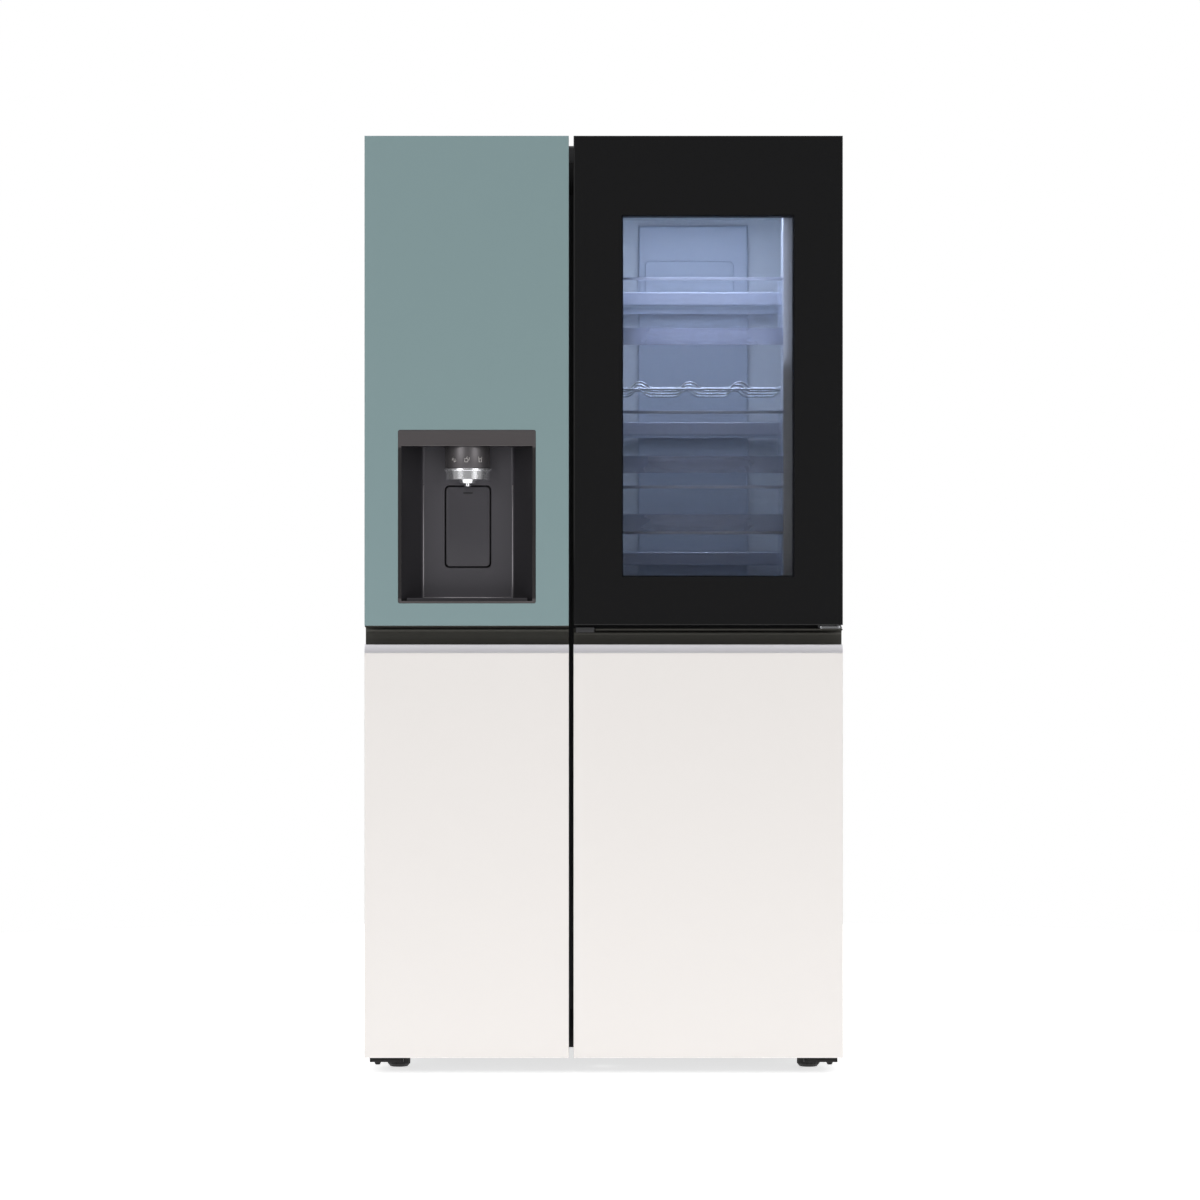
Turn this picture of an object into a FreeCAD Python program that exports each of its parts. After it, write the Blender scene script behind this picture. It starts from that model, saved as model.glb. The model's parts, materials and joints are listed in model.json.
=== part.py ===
"""Side-by-side refrigerator with a freezer on the left and a larger fridge on the right.

The freezer door carries an ice and water dispenser. The fridge door carries a second, outer door with a
window, which opens by itself to reach the bins behind it. Millimetres, +Z up, the doors face -Y, and the
origin is on the floor under the middle of the box. Every size comes from the spreadsheet Sizes.
"""

import FreeCAD
import Part
import Sketcher
import math
import os
import re

from FreeCAD import Placement, Rotation, Vector

SIZES = {
    # the whole refrigerator
    "half_width": 456.5,
    "front": -367.5,
    "rear": 367.5,
    "height": 1790,
    # steel case
    "case_front": -252.5,
    "case_back": 352.5,
    "case_bottom": 60,
    "case_top": 1750,
    "plate": 1.2,
    "flange": 20,
    "case_radius": 8,
    # inner liners and the machine compartment under their rear step
    "liner": 2,
    "liner_radius": 14,
    "liner_floor": 112,
    "liner_ceiling": 1690,
    "liner_back": 290,
    "step_front": 110,
    "step_top": 325,
    "machine_front": 150,
    "machine_top": 285,
    "freezer_left": -398.5,
    "freezer_right": -88,
    "fridge_left": -36,
    "fridge_right": 406.5,
    "ledge": 8,
    # door leaves, and the gap between them
    "split_left": -66.5,
    "split_right": -57.5,
    "leaf_back": -267.5,
    "panel": 4,
    "panel_radius": 1.5,
    "skin": 3,
    "door_bottom": 30,
    "lower_panel_top": 803,
    "trim_top": 819,
    "pocket_back": -328,
    "pocket_floor": 793,
    "freezer_pocket_top": 855,
    "fridge_pocket_top": 849,
    "leaf_top": 1752,
    "lip": 13,
    "lip_top": 1787,
    # hinge axes and pins
    "hinge_x": 434.5,
    "hinge_y": -305.5,
    "pin": 6,
    "pin_play": 0.1,
    "hinge_plate_top": 1758.5,
    "hinge_plate_bottom": 1753.5,
    "foot_plate_top": 29,
    "foot_plate_bottom": 24,
    "outer_hinge_x": 448,
    "outer_hinge_y": -355,
    "outer_pin": 4,
    "outer_eye": 7.5,
    # the outer door over the fridge door's opening
    "outer_bottom": 856,
    "outer_leaf_top": 1745,
    "outer_back": -325.5,
    "frame_front": -317.5,
    "opening_left": 20,
    "opening_right": 366,
    "opening_bottom": 905,
    "opening_top": 1668,
    "wall_right": 345,
    "wall_depth": -200,
    "wall": 14,
    "window_left": 34.7,
    "window_right": 364,
    "window_bottom": 948.3,
    "window_top": 1639,
    "window_seat": 8,
    "glazing_back": -335,
    # dispenser
    "niche_left": -392.7,
    "niche_right": -129.4,
    "niche_bottom": 897.5,
    "niche_top": 1228.8,
    "niche_rim": 6.5,
    "niche_ceiling": 1198,
    "niche_back": -301.5,
    "niche_taper": 39,
    "niche_shell": 3,
    "head_x": -261,
    "head_y": -320,
    "head_radius": 43,
    "head_bottom": 1156,
    "ring_radius": 46,
    "ring_bottom": 1135,
    "nozzle_bottom": 1122,
    "pad_half_width": 41.5,
    "pad_bottom": 969,
    "pad_top": 1121,
    "pad_thickness": 9,
    "pad_dish": 575,
    "pad_gap": 3.5,
    "pad_pocket_back": -277,
    # gaskets
    "gasket": 14,
    "gasket_gap": 0.4,
    "gasket_bottom": 92,
    "gasket_top": 1708,
    # feet and rollers
    "foot_x": 397,
    "foot_y": -232,
    "foot_radius": 22,
    "foot_height": 21,
    "stem": 5,
    "beam_bottom": 38,
    "roller_x": 418,
    "roller_y": 300,
    "roller_radius": 20,
    "roller_width": 22,
    "axle": 4,
    # things inside
    "shelf_front": -140,
    "shelf_back": 268,
    "glass": 4,
    "trim_height": 26,
    "drawer_front": -113,
    "drawer_inset": 26,
    "drawer_rail": 23,
    "rail_front": -215,
    "bin_back": -150,
    "bin_wall": 2.5,
    "freezer_shelf_front": -92,
    "duct_left": 72,
    "duct_right": 298,
    "duct_front": 274,
    "cover_front": 214,
    "cover_back": 222,
}
SHELF_LEVELS = (1500, 1245, 990, 738)
CRISPER_COVER = 486
RACK_LEVEL = 1320
FREEZER_SHELF_LEVELS = (1420, 1180, 940, 700)
DOOR_BIN_LEVELS = (1406, 1160, 1048, 912)
DOOR_BIN_RIMS = (1524, 1268, 1124, 1036)
LOWER_BIN_LEVELS = (610, 360)
FREEZER_BIN_LEVELS = (960, 720, 470, 200)

doc = FreeCAD.newDocument("refrigerator")
sizes = doc.addObject("Spreadsheet::Sheet", "Sizes")
for row, (alias, number) in enumerate(SIZES.items(), 1):
    sizes.set(f"A{row}", alias)
    sizes.set(f"B{row}", str(number))
    sizes.setAlias(f"B{row}", alias)
scratch = doc.addObject("Spreadsheet::Sheet", "Scratch")
doc.recompute()

nodes = []


# ---------------------------------------------------------------- expressions and small builders


def bound(text):
    """An expression in the sheet's aliases, such as 'case_top - plate', as FreeCAD writes it."""
    return re.sub(r"[a-z_]+", lambda m: "Sizes." + m.group() if m.group() in SIZES else m.group(), str(text))


def value(text):
    """The number that an expression in the sheet's aliases has, worked out in a sheet of its own."""
    scratch.set("A1", "=" + bound(text))
    scratch.recompute()
    return float(scratch.get("A1"))


def bind(thing, **expressions):
    """Binds properties to expressions; a double underscore stands for a dot."""
    for path, text in expressions.items():
        thing.setExpression(path.replace("__", "."), bound(text))
    return thing


def node(thing, label):
    """Names a finished sub-part."""
    thing.Label = label
    nodes.append(thing)
    return thing


def unique(kind, name):
    return doc.addObject(kind, name)


def block(x, y, z):
    """A box between two expressions on each axis."""
    box = unique("Part::Box", "block")
    bind(box, Length=f"({x[1]}) - ({x[0]})", Width=f"({y[1]}) - ({y[0]})", Height=f"({z[1]}) - ({z[0]})")
    return bind(box, Placement__Base__x=x[0], Placement__Base__y=y[0], Placement__Base__z=z[0])


def rod(x, y, z, radius, axis="z"):
    """A cylinder along one axis. The pair of expressions is its span, and the others place its centre."""
    cylinder = unique("Part::Cylinder", "rod")
    span = {"x": x, "y": y, "z": z}[axis]
    start = {"x": x, "y": y, "z": z, axis: span[0]}
    cylinder.Placement.Rotation = {
        "x": Rotation(Vector(0, 1, 0), 90),
        "y": Rotation(Vector(1, 0, 0), -90),
        "z": Rotation(),
    }[axis]
    bind(cylinder, Radius=radius, Height=f"({span[1]}) - ({span[0]})")
    return bind(
        cylinder, Placement__Base__x=start["x"], Placement__Base__y=start["y"], Placement__Base__z=start["z"]
    )


def cone(x, y, z, low_radius, high_radius):
    """An upright cone between two heights."""
    made = unique("Part::Cone", "cone")
    bind(made, Radius1=low_radius, Radius2=high_radius, Height=f"({z[1]}) - ({z[0]})")
    return bind(made, Placement__Base__x=x, Placement__Base__y=y, Placement__Base__z=z[0])


def tapered(x, y, z, x_far, z_far):
    """A box whose far face in Y has its own X and Z spans."""
    wedge = unique("Part::Wedge", "tapered")
    bind(wedge, Xmin=x[0], Xmax=x[1], Ymin=y[0], Ymax=y[1], Zmin=z[0], Zmax=z[1])
    return bind(wedge, X2min=x_far[0], X2max=x_far[1], Z2min=z_far[0], Z2max=z_far[1])


def fuse(*things):
    made = unique("Part::MultiFuse", "joined")
    made.Shapes = list(things)
    made.Refine = True
    return made


def group(*things):
    """Separate solids that share one node."""
    made = unique("Part::Compound", "group")
    made.Links = list(things)
    return made


def cut(base, *tools):
    made = unique("Part::Cut", "cut")
    made.Base = base
    made.Tool = tools[0] if len(tools) == 1 else fuse(*tools)
    return made


def common(one, other):
    made = unique("Part::Common", "common")
    made.Base = one
    made.Tool = other
    return made


def rounded(base, radius, chosen):
    """Rounds the edges that the test picks."""
    doc.recompute()
    size = value(radius)
    fillet = unique("Part::Fillet", "rounded")
    fillet.Base = base
    fillet.Edges = [(n, size, size) for n, edge in enumerate(base.Shape.Edges, 1) if chosen(edge)]
    return fillet


def along(axis):
    """Picks straight edges parallel to an axis."""
    direction = {"x": Vector(1, 0, 0), "y": Vector(0, 1, 0), "z": Vector(0, 0, 1)}[axis]

    def test(edge):
        if not isinstance(edge.Curve, Part.Line):
            return False
        return abs(abs(edge.Curve.Direction.dot(direction)) - 1) < 1e-6

    return test


def lying_at(axis, place):
    """Picks edges that lie wholly in the plane where an axis has a value."""
    where = value(place)

    def test(edge):
        box = edge.BoundBox
        low, high = {"x": (box.XMin, box.XMax), "y": (box.YMin, box.YMax), "z": (box.ZMin, box.ZMax)}[axis]
        return abs(low - where) < 1e-3 and abs(high - where) < 1e-3

    return test


def both(one, other):
    return lambda edge: one(edge) and other(edge)


def ring(x, y, z, width):
    """A rectangular frame seen along Y, with the same width all round."""
    hole = block(
        (f"{x[0]} + {width}", f"{x[1]} - ({width})"),
        (f"{y[0]} - 1", f"{y[1]} + 1"),
        (f"{z[0]} + {width}", f"{z[1]} - ({width})"),
    )
    return cut(block(x, y, z), hole)


# ---------------------------------------------------------------- PartDesign bodies


def origin_plane(body, role):
    return next(f for f in body.Origin.OriginFeatures if f.Role == role)


def outline(body, role, points):
    """A closed polygon sketch whose corners are expressions measured from the body's origin."""
    sketch = body.newObject("Sketcher::SketchObject", "outline")
    sketch.AttachmentSupport = [(origin_plane(body, role), "")]
    sketch.MapMode = "FlatFace"
    places = [Vector(value(a), value(b), 0) for a, b in points]
    count = len(places)
    for n in range(count):
        sketch.addGeometry(Part.LineSegment(places[n], places[(n + 1) % count]), False)
    for n in range(count):
        sketch.addConstraint(Sketcher.Constraint("Coincident", n, 2, (n + 1) % count, 1))
    for n, (a, b) in enumerate(points):
        for kind, text in (("DistanceX", a), ("DistanceY", b)):
            index = sketch.addConstraint(Sketcher.Constraint(kind, -1, 1, n, 1, value(text)))
            sketch.setExpression(f"Constraints[{index}]", bound(text))
    return sketch


def extruded(points, x):
    """A body with a Y-Z outline padded along X between two expressions."""
    body = unique("PartDesign::Body", "body")
    sketch = outline(body, "YZ_Plane", points)
    pad = body.newObject("PartDesign::Pad", "pad")
    pad.Profile = sketch
    bind(pad, Length=f"({x[1]}) - ({x[0]})")
    bind(body, Placement__Base__x=x[0])
    return body


def turned(points, x, y, z="0"):
    """A body of revolution about a vertical axis; the outline's points are radius and height."""
    body = unique("PartDesign::Body", "body")
    sketch = outline(body, "XZ_Plane", points)
    revolution = body.newObject("PartDesign::Revolution", "revolution")
    revolution.Profile = sketch
    revolution.ReferenceAxis = (sketch, ["V_Axis"])
    revolution.Angle = 360
    return bind(body, Placement__Base__x=x, Placement__Base__y=y, Placement__Base__z=z)


def soften(body, radius, chosen):
    """Rounds a body's chosen edges with a PartDesign fillet."""
    doc.recompute()
    base = body.Tip
    names = [f"Edge{n}" for n, edge in enumerate(base.Shape.Edges, 1) if chosen(edge)]
    fillet = body.newObject("PartDesign::Fillet", "fillet")
    fillet.Base = (base, names)
    bind(fillet, Radius=radius)
    return body


# ---------------------------------------------------------------- the case


def case_shell():
    """The steel wrap, two sides and a top in one bent sheet with a front flange, and the centre strip."""
    outer = block(("-half_width", "half_width"), ("case_front", "case_back"), ("case_bottom", "case_top"))
    outer = rounded(outer, "case_radius", both(along("y"), lying_at("z", "case_top")))
    inner = block(
        ("-half_width + plate", "half_width - plate"),
        ("case_front + plate", "case_back + 1"),
        ("case_bottom - 1", "case_top - plate"),
    )
    inner = rounded(inner, "case_radius - plate", both(along("y"), lying_at("z", "case_top - plate")))
    mouth = block(
        ("-half_width + flange", "half_width - flange"),
        ("case_front - 1", "case_front + 2"),
        ("case_bottom - 1", "case_top - flange"),
    )
    between = ("freezer_right", "fridge_left")
    strip = block(between, ("case_front", "case_front + plate"), ("liner_floor", "liner_ceiling"))
    return node(group(cut(outer, inner, mouth), strip), "case_shell")


def back_panel():
    """The rear sheet, with pressed ribs and two wall spacers."""
    sheet = block(
        ("-half_width + plate", "half_width - plate"),
        ("case_back - 1.5", "case_back"),
        ("machine_top", "case_top - plate"),
    )
    sheet = rounded(sheet, "case_radius", both(along("y"), lying_at("z", "case_top - plate")))
    ribs = [
        block((f"{x} - 14", f"{x} + 14"), ("case_back - 0.5", "case_back + 2.5"), ("420", "1560"))
        for x in (-300, -150, 0, 150, 300)
    ]
    spacers = [
        rounded(
            block((f"{x} - 22", f"{x} + 22"), ("case_back - 0.5", "rear"), ("1610", "1680")),
            "liner_radius - 6",
            both(along("x"), lying_at("y", "rear")),
        )
        for x in (-330, 330)
    ]
    return node(fuse(sheet, *ribs, *spacers), "back_panel")


def insulation():
    """Foam slabs between the steel case and the liners, face to face."""
    inside_front = "case_front + plate"
    inside_back = "case_back - 1.5"
    floor = "case_bottom + plate"
    cavity = ("freezer_left", "fridge_right")
    mullion = ("freezer_right", "fridge_left")
    slabs = [
        block(("-half_width + plate", "freezer_left"), (inside_front, inside_back), (floor, "liner_ceiling")),
        block(("fridge_right", "half_width - plate"), (inside_front, inside_back), (floor, "liner_ceiling")),
        block(
            ("-half_width + case_radius", "half_width - case_radius"),
            (inside_front, inside_back),
            ("liner_ceiling", "case_top - plate"),
        ),
        block(cavity, ("liner_back", inside_back), ("step_top", "liner_ceiling")),
        block(cavity, (inside_front, "step_front"), (floor, "liner_floor")),
        block(cavity, ("step_front", "machine_front"), (floor, "step_top")),
        block(cavity, ("machine_front", inside_back), ("machine_top", "step_top")),
        block(mullion, (inside_front, "step_front"), ("liner_floor", "liner_ceiling")),
        block(mullion, ("step_front", "liner_back"), ("step_top", "liner_ceiling")),
    ]
    return node(group(*slabs), "insulation_foam")


def liner(label, left, right, outer_side, ledges, drawer_rails):
    """One vacuum-formed tub with a rear step, shelf ledges and a flange at its outer side and top."""
    beyond = (f"{left} - 1", f"{right} + 1")
    body = cut(
        block((left, right), ("case_front", "liner_back"), ("liner_floor", "liner_ceiling")),
        block(beyond, ("step_front", "liner_back + 1"), ("liner_floor - 1", "step_top")),
    )
    room = cut(
        block(
            (f"{left} + liner", f"{right} - liner"),
            ("case_front - 1", "liner_back - liner"),
            ("liner_floor + liner", "liner_ceiling - liner"),
        ),
        block(beyond, ("step_front - liner", "liner_back + 1"), ("liner_floor - 1", "step_top + liner")),
    )
    room = rounded(room, "liner_radius", along("y"))
    tub = cut(body, room)
    sheet = ("case_front", "case_front + plate")
    if outer_side == "left":
        side = block(("-half_width + flange", left), sheet, ("liner_floor", "case_top - flange"))
        top = block((left, "freezer_right + 26"), sheet, ("liner_ceiling", "case_top - flange"))
    else:
        side = block((right, "half_width - flange"), sheet, ("liner_floor", "case_top - flange"))
        top = block(("fridge_left - 26", right), sheet, ("liner_ceiling", "case_top - flange"))
    bars = []
    for reach, levels, upper, lower in (("ledge", ledges, 0.5, 9), ("drawer_rail", drawer_rails, 5.4, 12)):
        for level, start, end in levels:
            height = (f"{level} - {lower}", f"{level} - {upper}")
            bars.append(block((f"{left} + liner - 1", f"{left} + liner + {reach}"), (start, end), height))
            bars.append(block((f"{right} - liner - {reach}", f"{right} - liner + 1"), (start, end), height))
    return node(fuse(tub, side, top, *bars), label)


def base_frame():
    """Front beam, side rails, bottom sheets and the pan that the compressor stands on."""
    beam = block(("-452", "452"), ("case_front + 2", "case_front + 40"), ("beam_bottom", "case_bottom"))
    stem_holes = [
        rod(f"{side} * foot_x", "foot_y", ("beam_bottom - 1", "case_bottom + 1"), "stem + pin_play")
        for side in (-1, 1)
    ]
    beam = cut(beam, *stem_holes)
    rails = [
        block(lows, ("case_front + 40", "case_back - 2"), ("beam_bottom", "case_bottom"))
        for lows in (("-398", "-386"), ("386", "398"))
    ]
    sheet = block(
        ("-half_width + plate", "half_width - plate"),
        ("case_front + plate", "machine_front"),
        ("case_bottom", "case_bottom + plate"),
    )
    wings = [
        block(x, ("machine_front", "case_back - 1.5"), ("case_bottom", "case_bottom + plate"))
        for x in (("-half_width + plate", "freezer_left"), ("fridge_right", "half_width - plate"))
    ]
    face = block(
        ("-half_width + flange", "half_width - flange"),
        ("case_front", "case_front + plate"),
        ("case_bottom", "liner_floor"),
    )
    pan = block(("-386", "386"), ("machine_front", "case_back - 2"), ("44", "46"))
    bridges = [
        block(x, ("roller_y - 26", "roller_y + 26"), ("beam_bottom + 4", "case_bottom"))
        for x in (("-440", "-397"), ("397", "440"))
    ]
    ears = [
        block((low, high), ("roller_y - 12", "roller_y + 12"), ("roller_radius - 8", "case_bottom - 2"))
        for low, high in (("-404", "-400"), ("-436", "-432"), ("400", "404"), ("432", "436"))
    ]
    holes = [
        rod(span, "roller_y", "roller_radius", "axle + pin_play", "x")
        for span in (("-441", "-399"), ("399", "441"))
    ]
    shroud = cut(
        block(("12", "15"), ("186", "314"), ("45", "216")),
        rod(("11", "16"), "250", "150", "62", "x"),
    )
    motor = rod(("54", "84"), "250", "150", "15", "x")
    stay = block(("62", "72"), ("242", "258"), ("45", "148"))
    frame = cut(fuse(beam, *rails, sheet, *wings, face, pan, *bridges, *ears, shroud, motor, stay), *holes)
    return node(frame, "base_frame")


def top_cover():
    """The cover along the case's front top edge, with a nose over each upper hinge."""
    outer = block(("-half_width + 1", "half_width - 1"), ("case_front - 3", "-150"), ("case_top", "1783"))
    outer = rounded(outer, "5", lambda e: along("x")(e) and e.BoundBox.ZMin > 1780)
    hollow = block(("-half_width + 4", "half_width - 4"), ("case_front", "-153"), ("case_top - 1", "1780"))
    noses = [
        block(x, ("-317", "case_front"), ("hinge_plate_top + 1.5", "1776"))
        for x in (("404", "451"), ("-451", "-404"))
    ]
    noses = [rounded(nose, "4", lambda e: e.BoundBox.ZMin > 1775) for nose in noses]
    notches = [
        block(x, ("case_front - 4", "case_front + 1"), ("case_top - 1", "hinge_plate_top + 1"))
        for x in (("400", "453"), ("-453", "-400"))
    ]
    return node(fuse(cut(outer, hollow, *notches), *noses), "top_cover")


def door_hinges():
    """Four brackets with their pins: two on the case's top and two under the front beam."""
    brackets = []
    for side in (1, -1):
        x = sorted((side * 402, side * 449))
        arm = block((x[0], x[1]), ("hinge_y", "-190"), ("hinge_plate_bottom", "hinge_plate_top"))
        nose = rod(f"{side} * hinge_x", "hinge_y", ("hinge_plate_bottom", "hinge_plate_top"), "14")
        seat = block((x[0], x[1]), ("case_front + 3", "-190"), ("case_top", "hinge_plate_bottom"))
        pin = rod(f"{side} * hinge_x", "hinge_y", ("leaf_top - 25", "hinge_plate_bottom"), "pin")
        head = rod(f"{side} * 425", "-212", ("hinge_plate_top", "hinge_plate_top + 4"), "7")
        second = rod(f"{side} * 425", "-236", ("hinge_plate_top", "hinge_plate_top + 4"), "7")
        brackets.append(fuse(arm, nose, seat, pin, head, second))
    for side in (1, -1):
        x = sorted((side * 376, side * 451))
        plate = block((x[0], x[1]), ("-322", "case_front + 40"), ("foot_plate_bottom", "foot_plate_top"))
        plate = rounded(plate, "12", both(along("z"), lying_at("y", "-322")))
        web = block((x[0], x[1]), ("case_front + 2", "case_front + 40"), ("foot_plate_top", "beam_bottom"))
        pin = rod(f"{side} * hinge_x", "hinge_y", ("foot_plate_top", "door_bottom + 24"), "pin")
        nut = cone(f"{side} * hinge_x", "hinge_y", ("11", "foot_plate_bottom"), "4.5", "10.5")
        clearance = ("foot_plate_bottom - 1", "beam_bottom + 1")
        stem_hole = rod(f"{side} * foot_x", "foot_y", clearance, "stem + pin_play")
        brackets.append(cut(fuse(plate, web, pin, nut), stem_hole))
    return node(group(*brackets), "door_hinges")


def front_block():
    """The small grey water-line block that hangs under the front beam."""
    made = block(("-16.5", "14.6"), ("case_front + 4", "case_front + 34"), ("17", "beam_bottom"))
    return node(rounded(made, "2.5", lambda e: e.BoundBox.ZMax < 18 or along("z")(e)), "water_line_block")


# ---------------------------------------------------------------- machine compartment


def machine_cover():
    """The louvred cover over the machine compartment, with the flanged inlet for mains power."""
    sheet = block(
        ("-half_width + 4", "half_width - 4"), ("case_back", "case_back + 1.5"), ("48", "machine_top + 12")
    )
    slots = [
        rounded(block((x, f"{x} + 70"), ("case_back - 1", "case_back + 3"), (z, f"{z} + 7")), "3", along("y"))
        for x in (-330, -230, -130, 60, 160, 260)
        for z in range(90, 250, 16)
    ]
    socket = block(("-60", "10"), ("case_back - 24", "case_back + 4.5"), ("150", "210"))
    flange = block(("-66", "16"), ("case_back + 1", "case_back + 4.5"), ("144", "216"))
    flange = rounded(flange, "6", along("y"))
    well = block(("-38", "-12"), ("case_back - 18", "case_back + 6"), ("166", "194"))
    pins = [
        block((x, f"{x} + 2"), ("case_back - 19", "case_back - 2"), (z, f"{z} + 5"))
        for x, z in ((-33, 173), (-19, 173), (-26, 184))
    ]
    cover = cut(fuse(cut(sheet, *slots), flange, socket), well)
    return node(fuse(cover, *pins), "rear_machine_cover")


def compressor():
    """A hermetic compressor: domed can on a foot plate with four grommets, and its two pipes."""
    profile = [
        ("0", "14"),
        ("62", "14"),
        ("74", "30"),
        ("78", "62"),
        ("78", "96"),
        ("68", "138"),
        ("44", "156"),
        ("0", "162"),
    ]
    can = turned(profile, "230", "250", "52")
    can = soften(can, "7", lambda e: e.BoundBox.ZMax > 15 and e.BoundBox.ZMax < 150)
    foot = rounded(block(("140", "320"), ("196", "304"), ("58", "62")), "14", along("z"))
    legs = block(("190", "270"), ("210", "290"), ("60", "70"))
    grommets = [rod(x, y, ("46", "58"), "11") for x in ("156", "304") for y in ("212", "288")]
    pipes = [rod("230 - 70", "250", ("60", "170"), "4"), rod("230 + 60", "205", ("60", "150"), "5")]
    terminal = block(("205", "255"), ("170", "190"), ("100", "150"))
    return node(fuse(can, foot, legs, *grommets, *pipes, terminal), "compressor")


def serpentine(left, right, low, pitch, rows):
    """A flat path of straight runs joined by half circles, in the X-Z plane."""
    edges = []
    start = Vector(left, 0, low)
    for n in range(rows):
        height = low + n * pitch
        near, far = (left, right) if n % 2 == 0 else (right, left)
        edges.append(Part.LineSegment(Vector(near, 0, height), Vector(far, 0, height)).toShape())
        if n + 1 < rows:
            bulge = pitch / 2 if far == right else -pitch / 2
            middle = Vector(far + bulge, 0, height + pitch / 2)
            edges.append(Part.Arc(Vector(far, 0, height), middle, Vector(far, 0, height + pitch)).toShape())
    return Part.Wire(edges), start


def coil(radius, left, right, low, pitch, rows):
    """A tube swept along a serpentine."""
    path, start = serpentine(left, right, low, pitch, rows)
    section = Part.Wire(Part.Circle(start, Vector(1, 0, 0), radius).toShape())
    tube = unique("Part::Feature", "tube")
    tube.Shape = path.makePipeShell([section], True, False)
    return tube


def condenser():
    """Three serpentine layers on wire stays."""
    layers = []
    for depth in (200, 240, 280):
        layer = coil(4, -330, -60, 80, 24, 7)
        layer.Placement = Placement(Vector(0, depth, 0), Rotation())
        layers.append(layer)
    return node(group(*layers), "condenser_coil")


def evaporator():
    """A finned serpentine behind the freezer's rear cover."""
    tube = coil(4, -360, -126, 420, 36, 8)
    tube.Placement = Placement(Vector(0, 255, 0), Rotation())
    fins = [block((f"{x}", f"{x} + 1.2"), ("236", "274"), ("400", "692")) for x in range(-352, -130, 12)]
    return node(fuse(tube, *fins), "evaporator_coil")


def fan(label, blades, radius, hub, depth):
    """A hub and pitched blades about +Y, centred on its own origin."""
    core = Part.makeCylinder(hub, depth, Vector(0, -depth / 2, 0), Vector(0, 1, 0))
    front_rim = [e for e in core.Edges if e.BoundBox.YMax < 0]
    core = core.makeFillet(3, front_rim)
    sweep = Part.makeCylinder(radius, depth, Vector(0, -depth / 2, 0), Vector(0, 1, 0))
    vanes = []
    for n in range(blades):
        vane = Part.makeBox(hub * 1.8, 2, radius + 5, Vector(-hub * 0.9, -1, 0))
        vane.rotate(Vector(0, 0, 0), Vector(0, 0, 1), 28)
        vane.rotate(Vector(0, 0, 0), Vector(0, 1, 0), 360 / blades * n)
        vanes.append(vane.common(sweep))
    made = unique("Part::Feature", "fan")
    made.Shape = core.fuse(vanes)
    return node(made, label)


# ---------------------------------------------------------------- feet and rollers


def levelling_foot(label, side):
    """A ribbed foot on a threaded stem."""
    profile = [
        ("0", "0"),
        ("foot_radius - 5", "0"),
        ("foot_radius", "6"),
        ("foot_radius", "foot_height"),
        ("0", "foot_height"),
    ]
    disc = turned(profile, f"{side} * foot_x", "foot_y")
    grooves = []
    for n in range(18):
        turn = math.radians(20 * n)
        x = f"{side} * foot_x + (foot_radius + 1) * {math.cos(turn):.5f}"
        y = f"foot_y + (foot_radius + 1) * {math.sin(turn):.5f}"
        grooves.append(rod(x, y, ("-1", "foot_height + 1"), "2"))
    stem = rod(f"{side} * foot_x", "foot_y", ("foot_height - 1", "case_bottom - 3"), "stem")
    return node(fuse(cut(disc, *grooves), stem), label)


def rear_roller(label, side):
    """A grooved roller with its axle."""
    wheel = rod(
        (f"{side} * roller_x - roller_width / 2", f"{side} * roller_x + roller_width / 2"),
        "roller_y",
        "roller_radius",
        "roller_radius",
        "x",
    )
    wheel = rounded(wheel, "2", lambda e: isinstance(e.Curve, Part.Circle))
    ends = (f"{side} * roller_x - 19", f"{side} * roller_x + 19")
    axle = rod(ends, "roller_y", "roller_radius", "axle", "x")
    return node(fuse(wheel, axle), label)


# ---------------------------------------------------------------- inside the fridge and the freezer


def fridge_shelves():
    """Glass plates, and the trims that hold their front and rear edges."""
    plates = []
    trims = []
    inside = ("fridge_left + liner + 1.5", "fridge_right - liner - 1.5")
    for level in (*SHELF_LEVELS, CRISPER_COVER):
        plates.append(block(inside, ("shelf_front + 4", "shelf_back - 4"), (f"{level}", f"{level} + glass")))
        height = (f"{level} - trim_height + 8", f"{level} + 8")
        lip = block(inside, ("shelf_front", "shelf_front + 16"), height)
        slot = block(inside, ("shelf_front + 4", "shelf_front + 17"), (f"{level}", f"{level} + glass"))
        lip = rounded(lip, "3", both(along("x"), lying_at("y", "shelf_front")))
        notch = block(
            ("fridge_left", "fridge_right"),
            ("shelf_front + 8", "shelf_front + 17"),
            (f"{level} - trim_height + 7", f"{level} - 6"),
        )
        tail = block(inside, ("shelf_back - 12", "shelf_back"), (f"{level} - 8", f"{level} + 14"))
        tail_slot = block(inside, ("shelf_back - 13", "shelf_back - 4"), (f"{level}", f"{level} + glass"))
        ends = [
            block(x, ("shelf_back - 13", "shelf_back + 1"), (f"{level} - 10", f"{level}"))
            for x in (
                ("fridge_left", "fridge_left + liner + ledge + 1"),
                ("fridge_right - liner - ledge - 1", "fridge_right"),
            )
        ]
        trims.append(cut(lip, slot, notch))
        trims.append(cut(tail, tail_slot, *ends))
    node(group(*plates), "fridge_shelf_glass")
    node(group(*trims), "fridge_shelf_trims")


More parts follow.
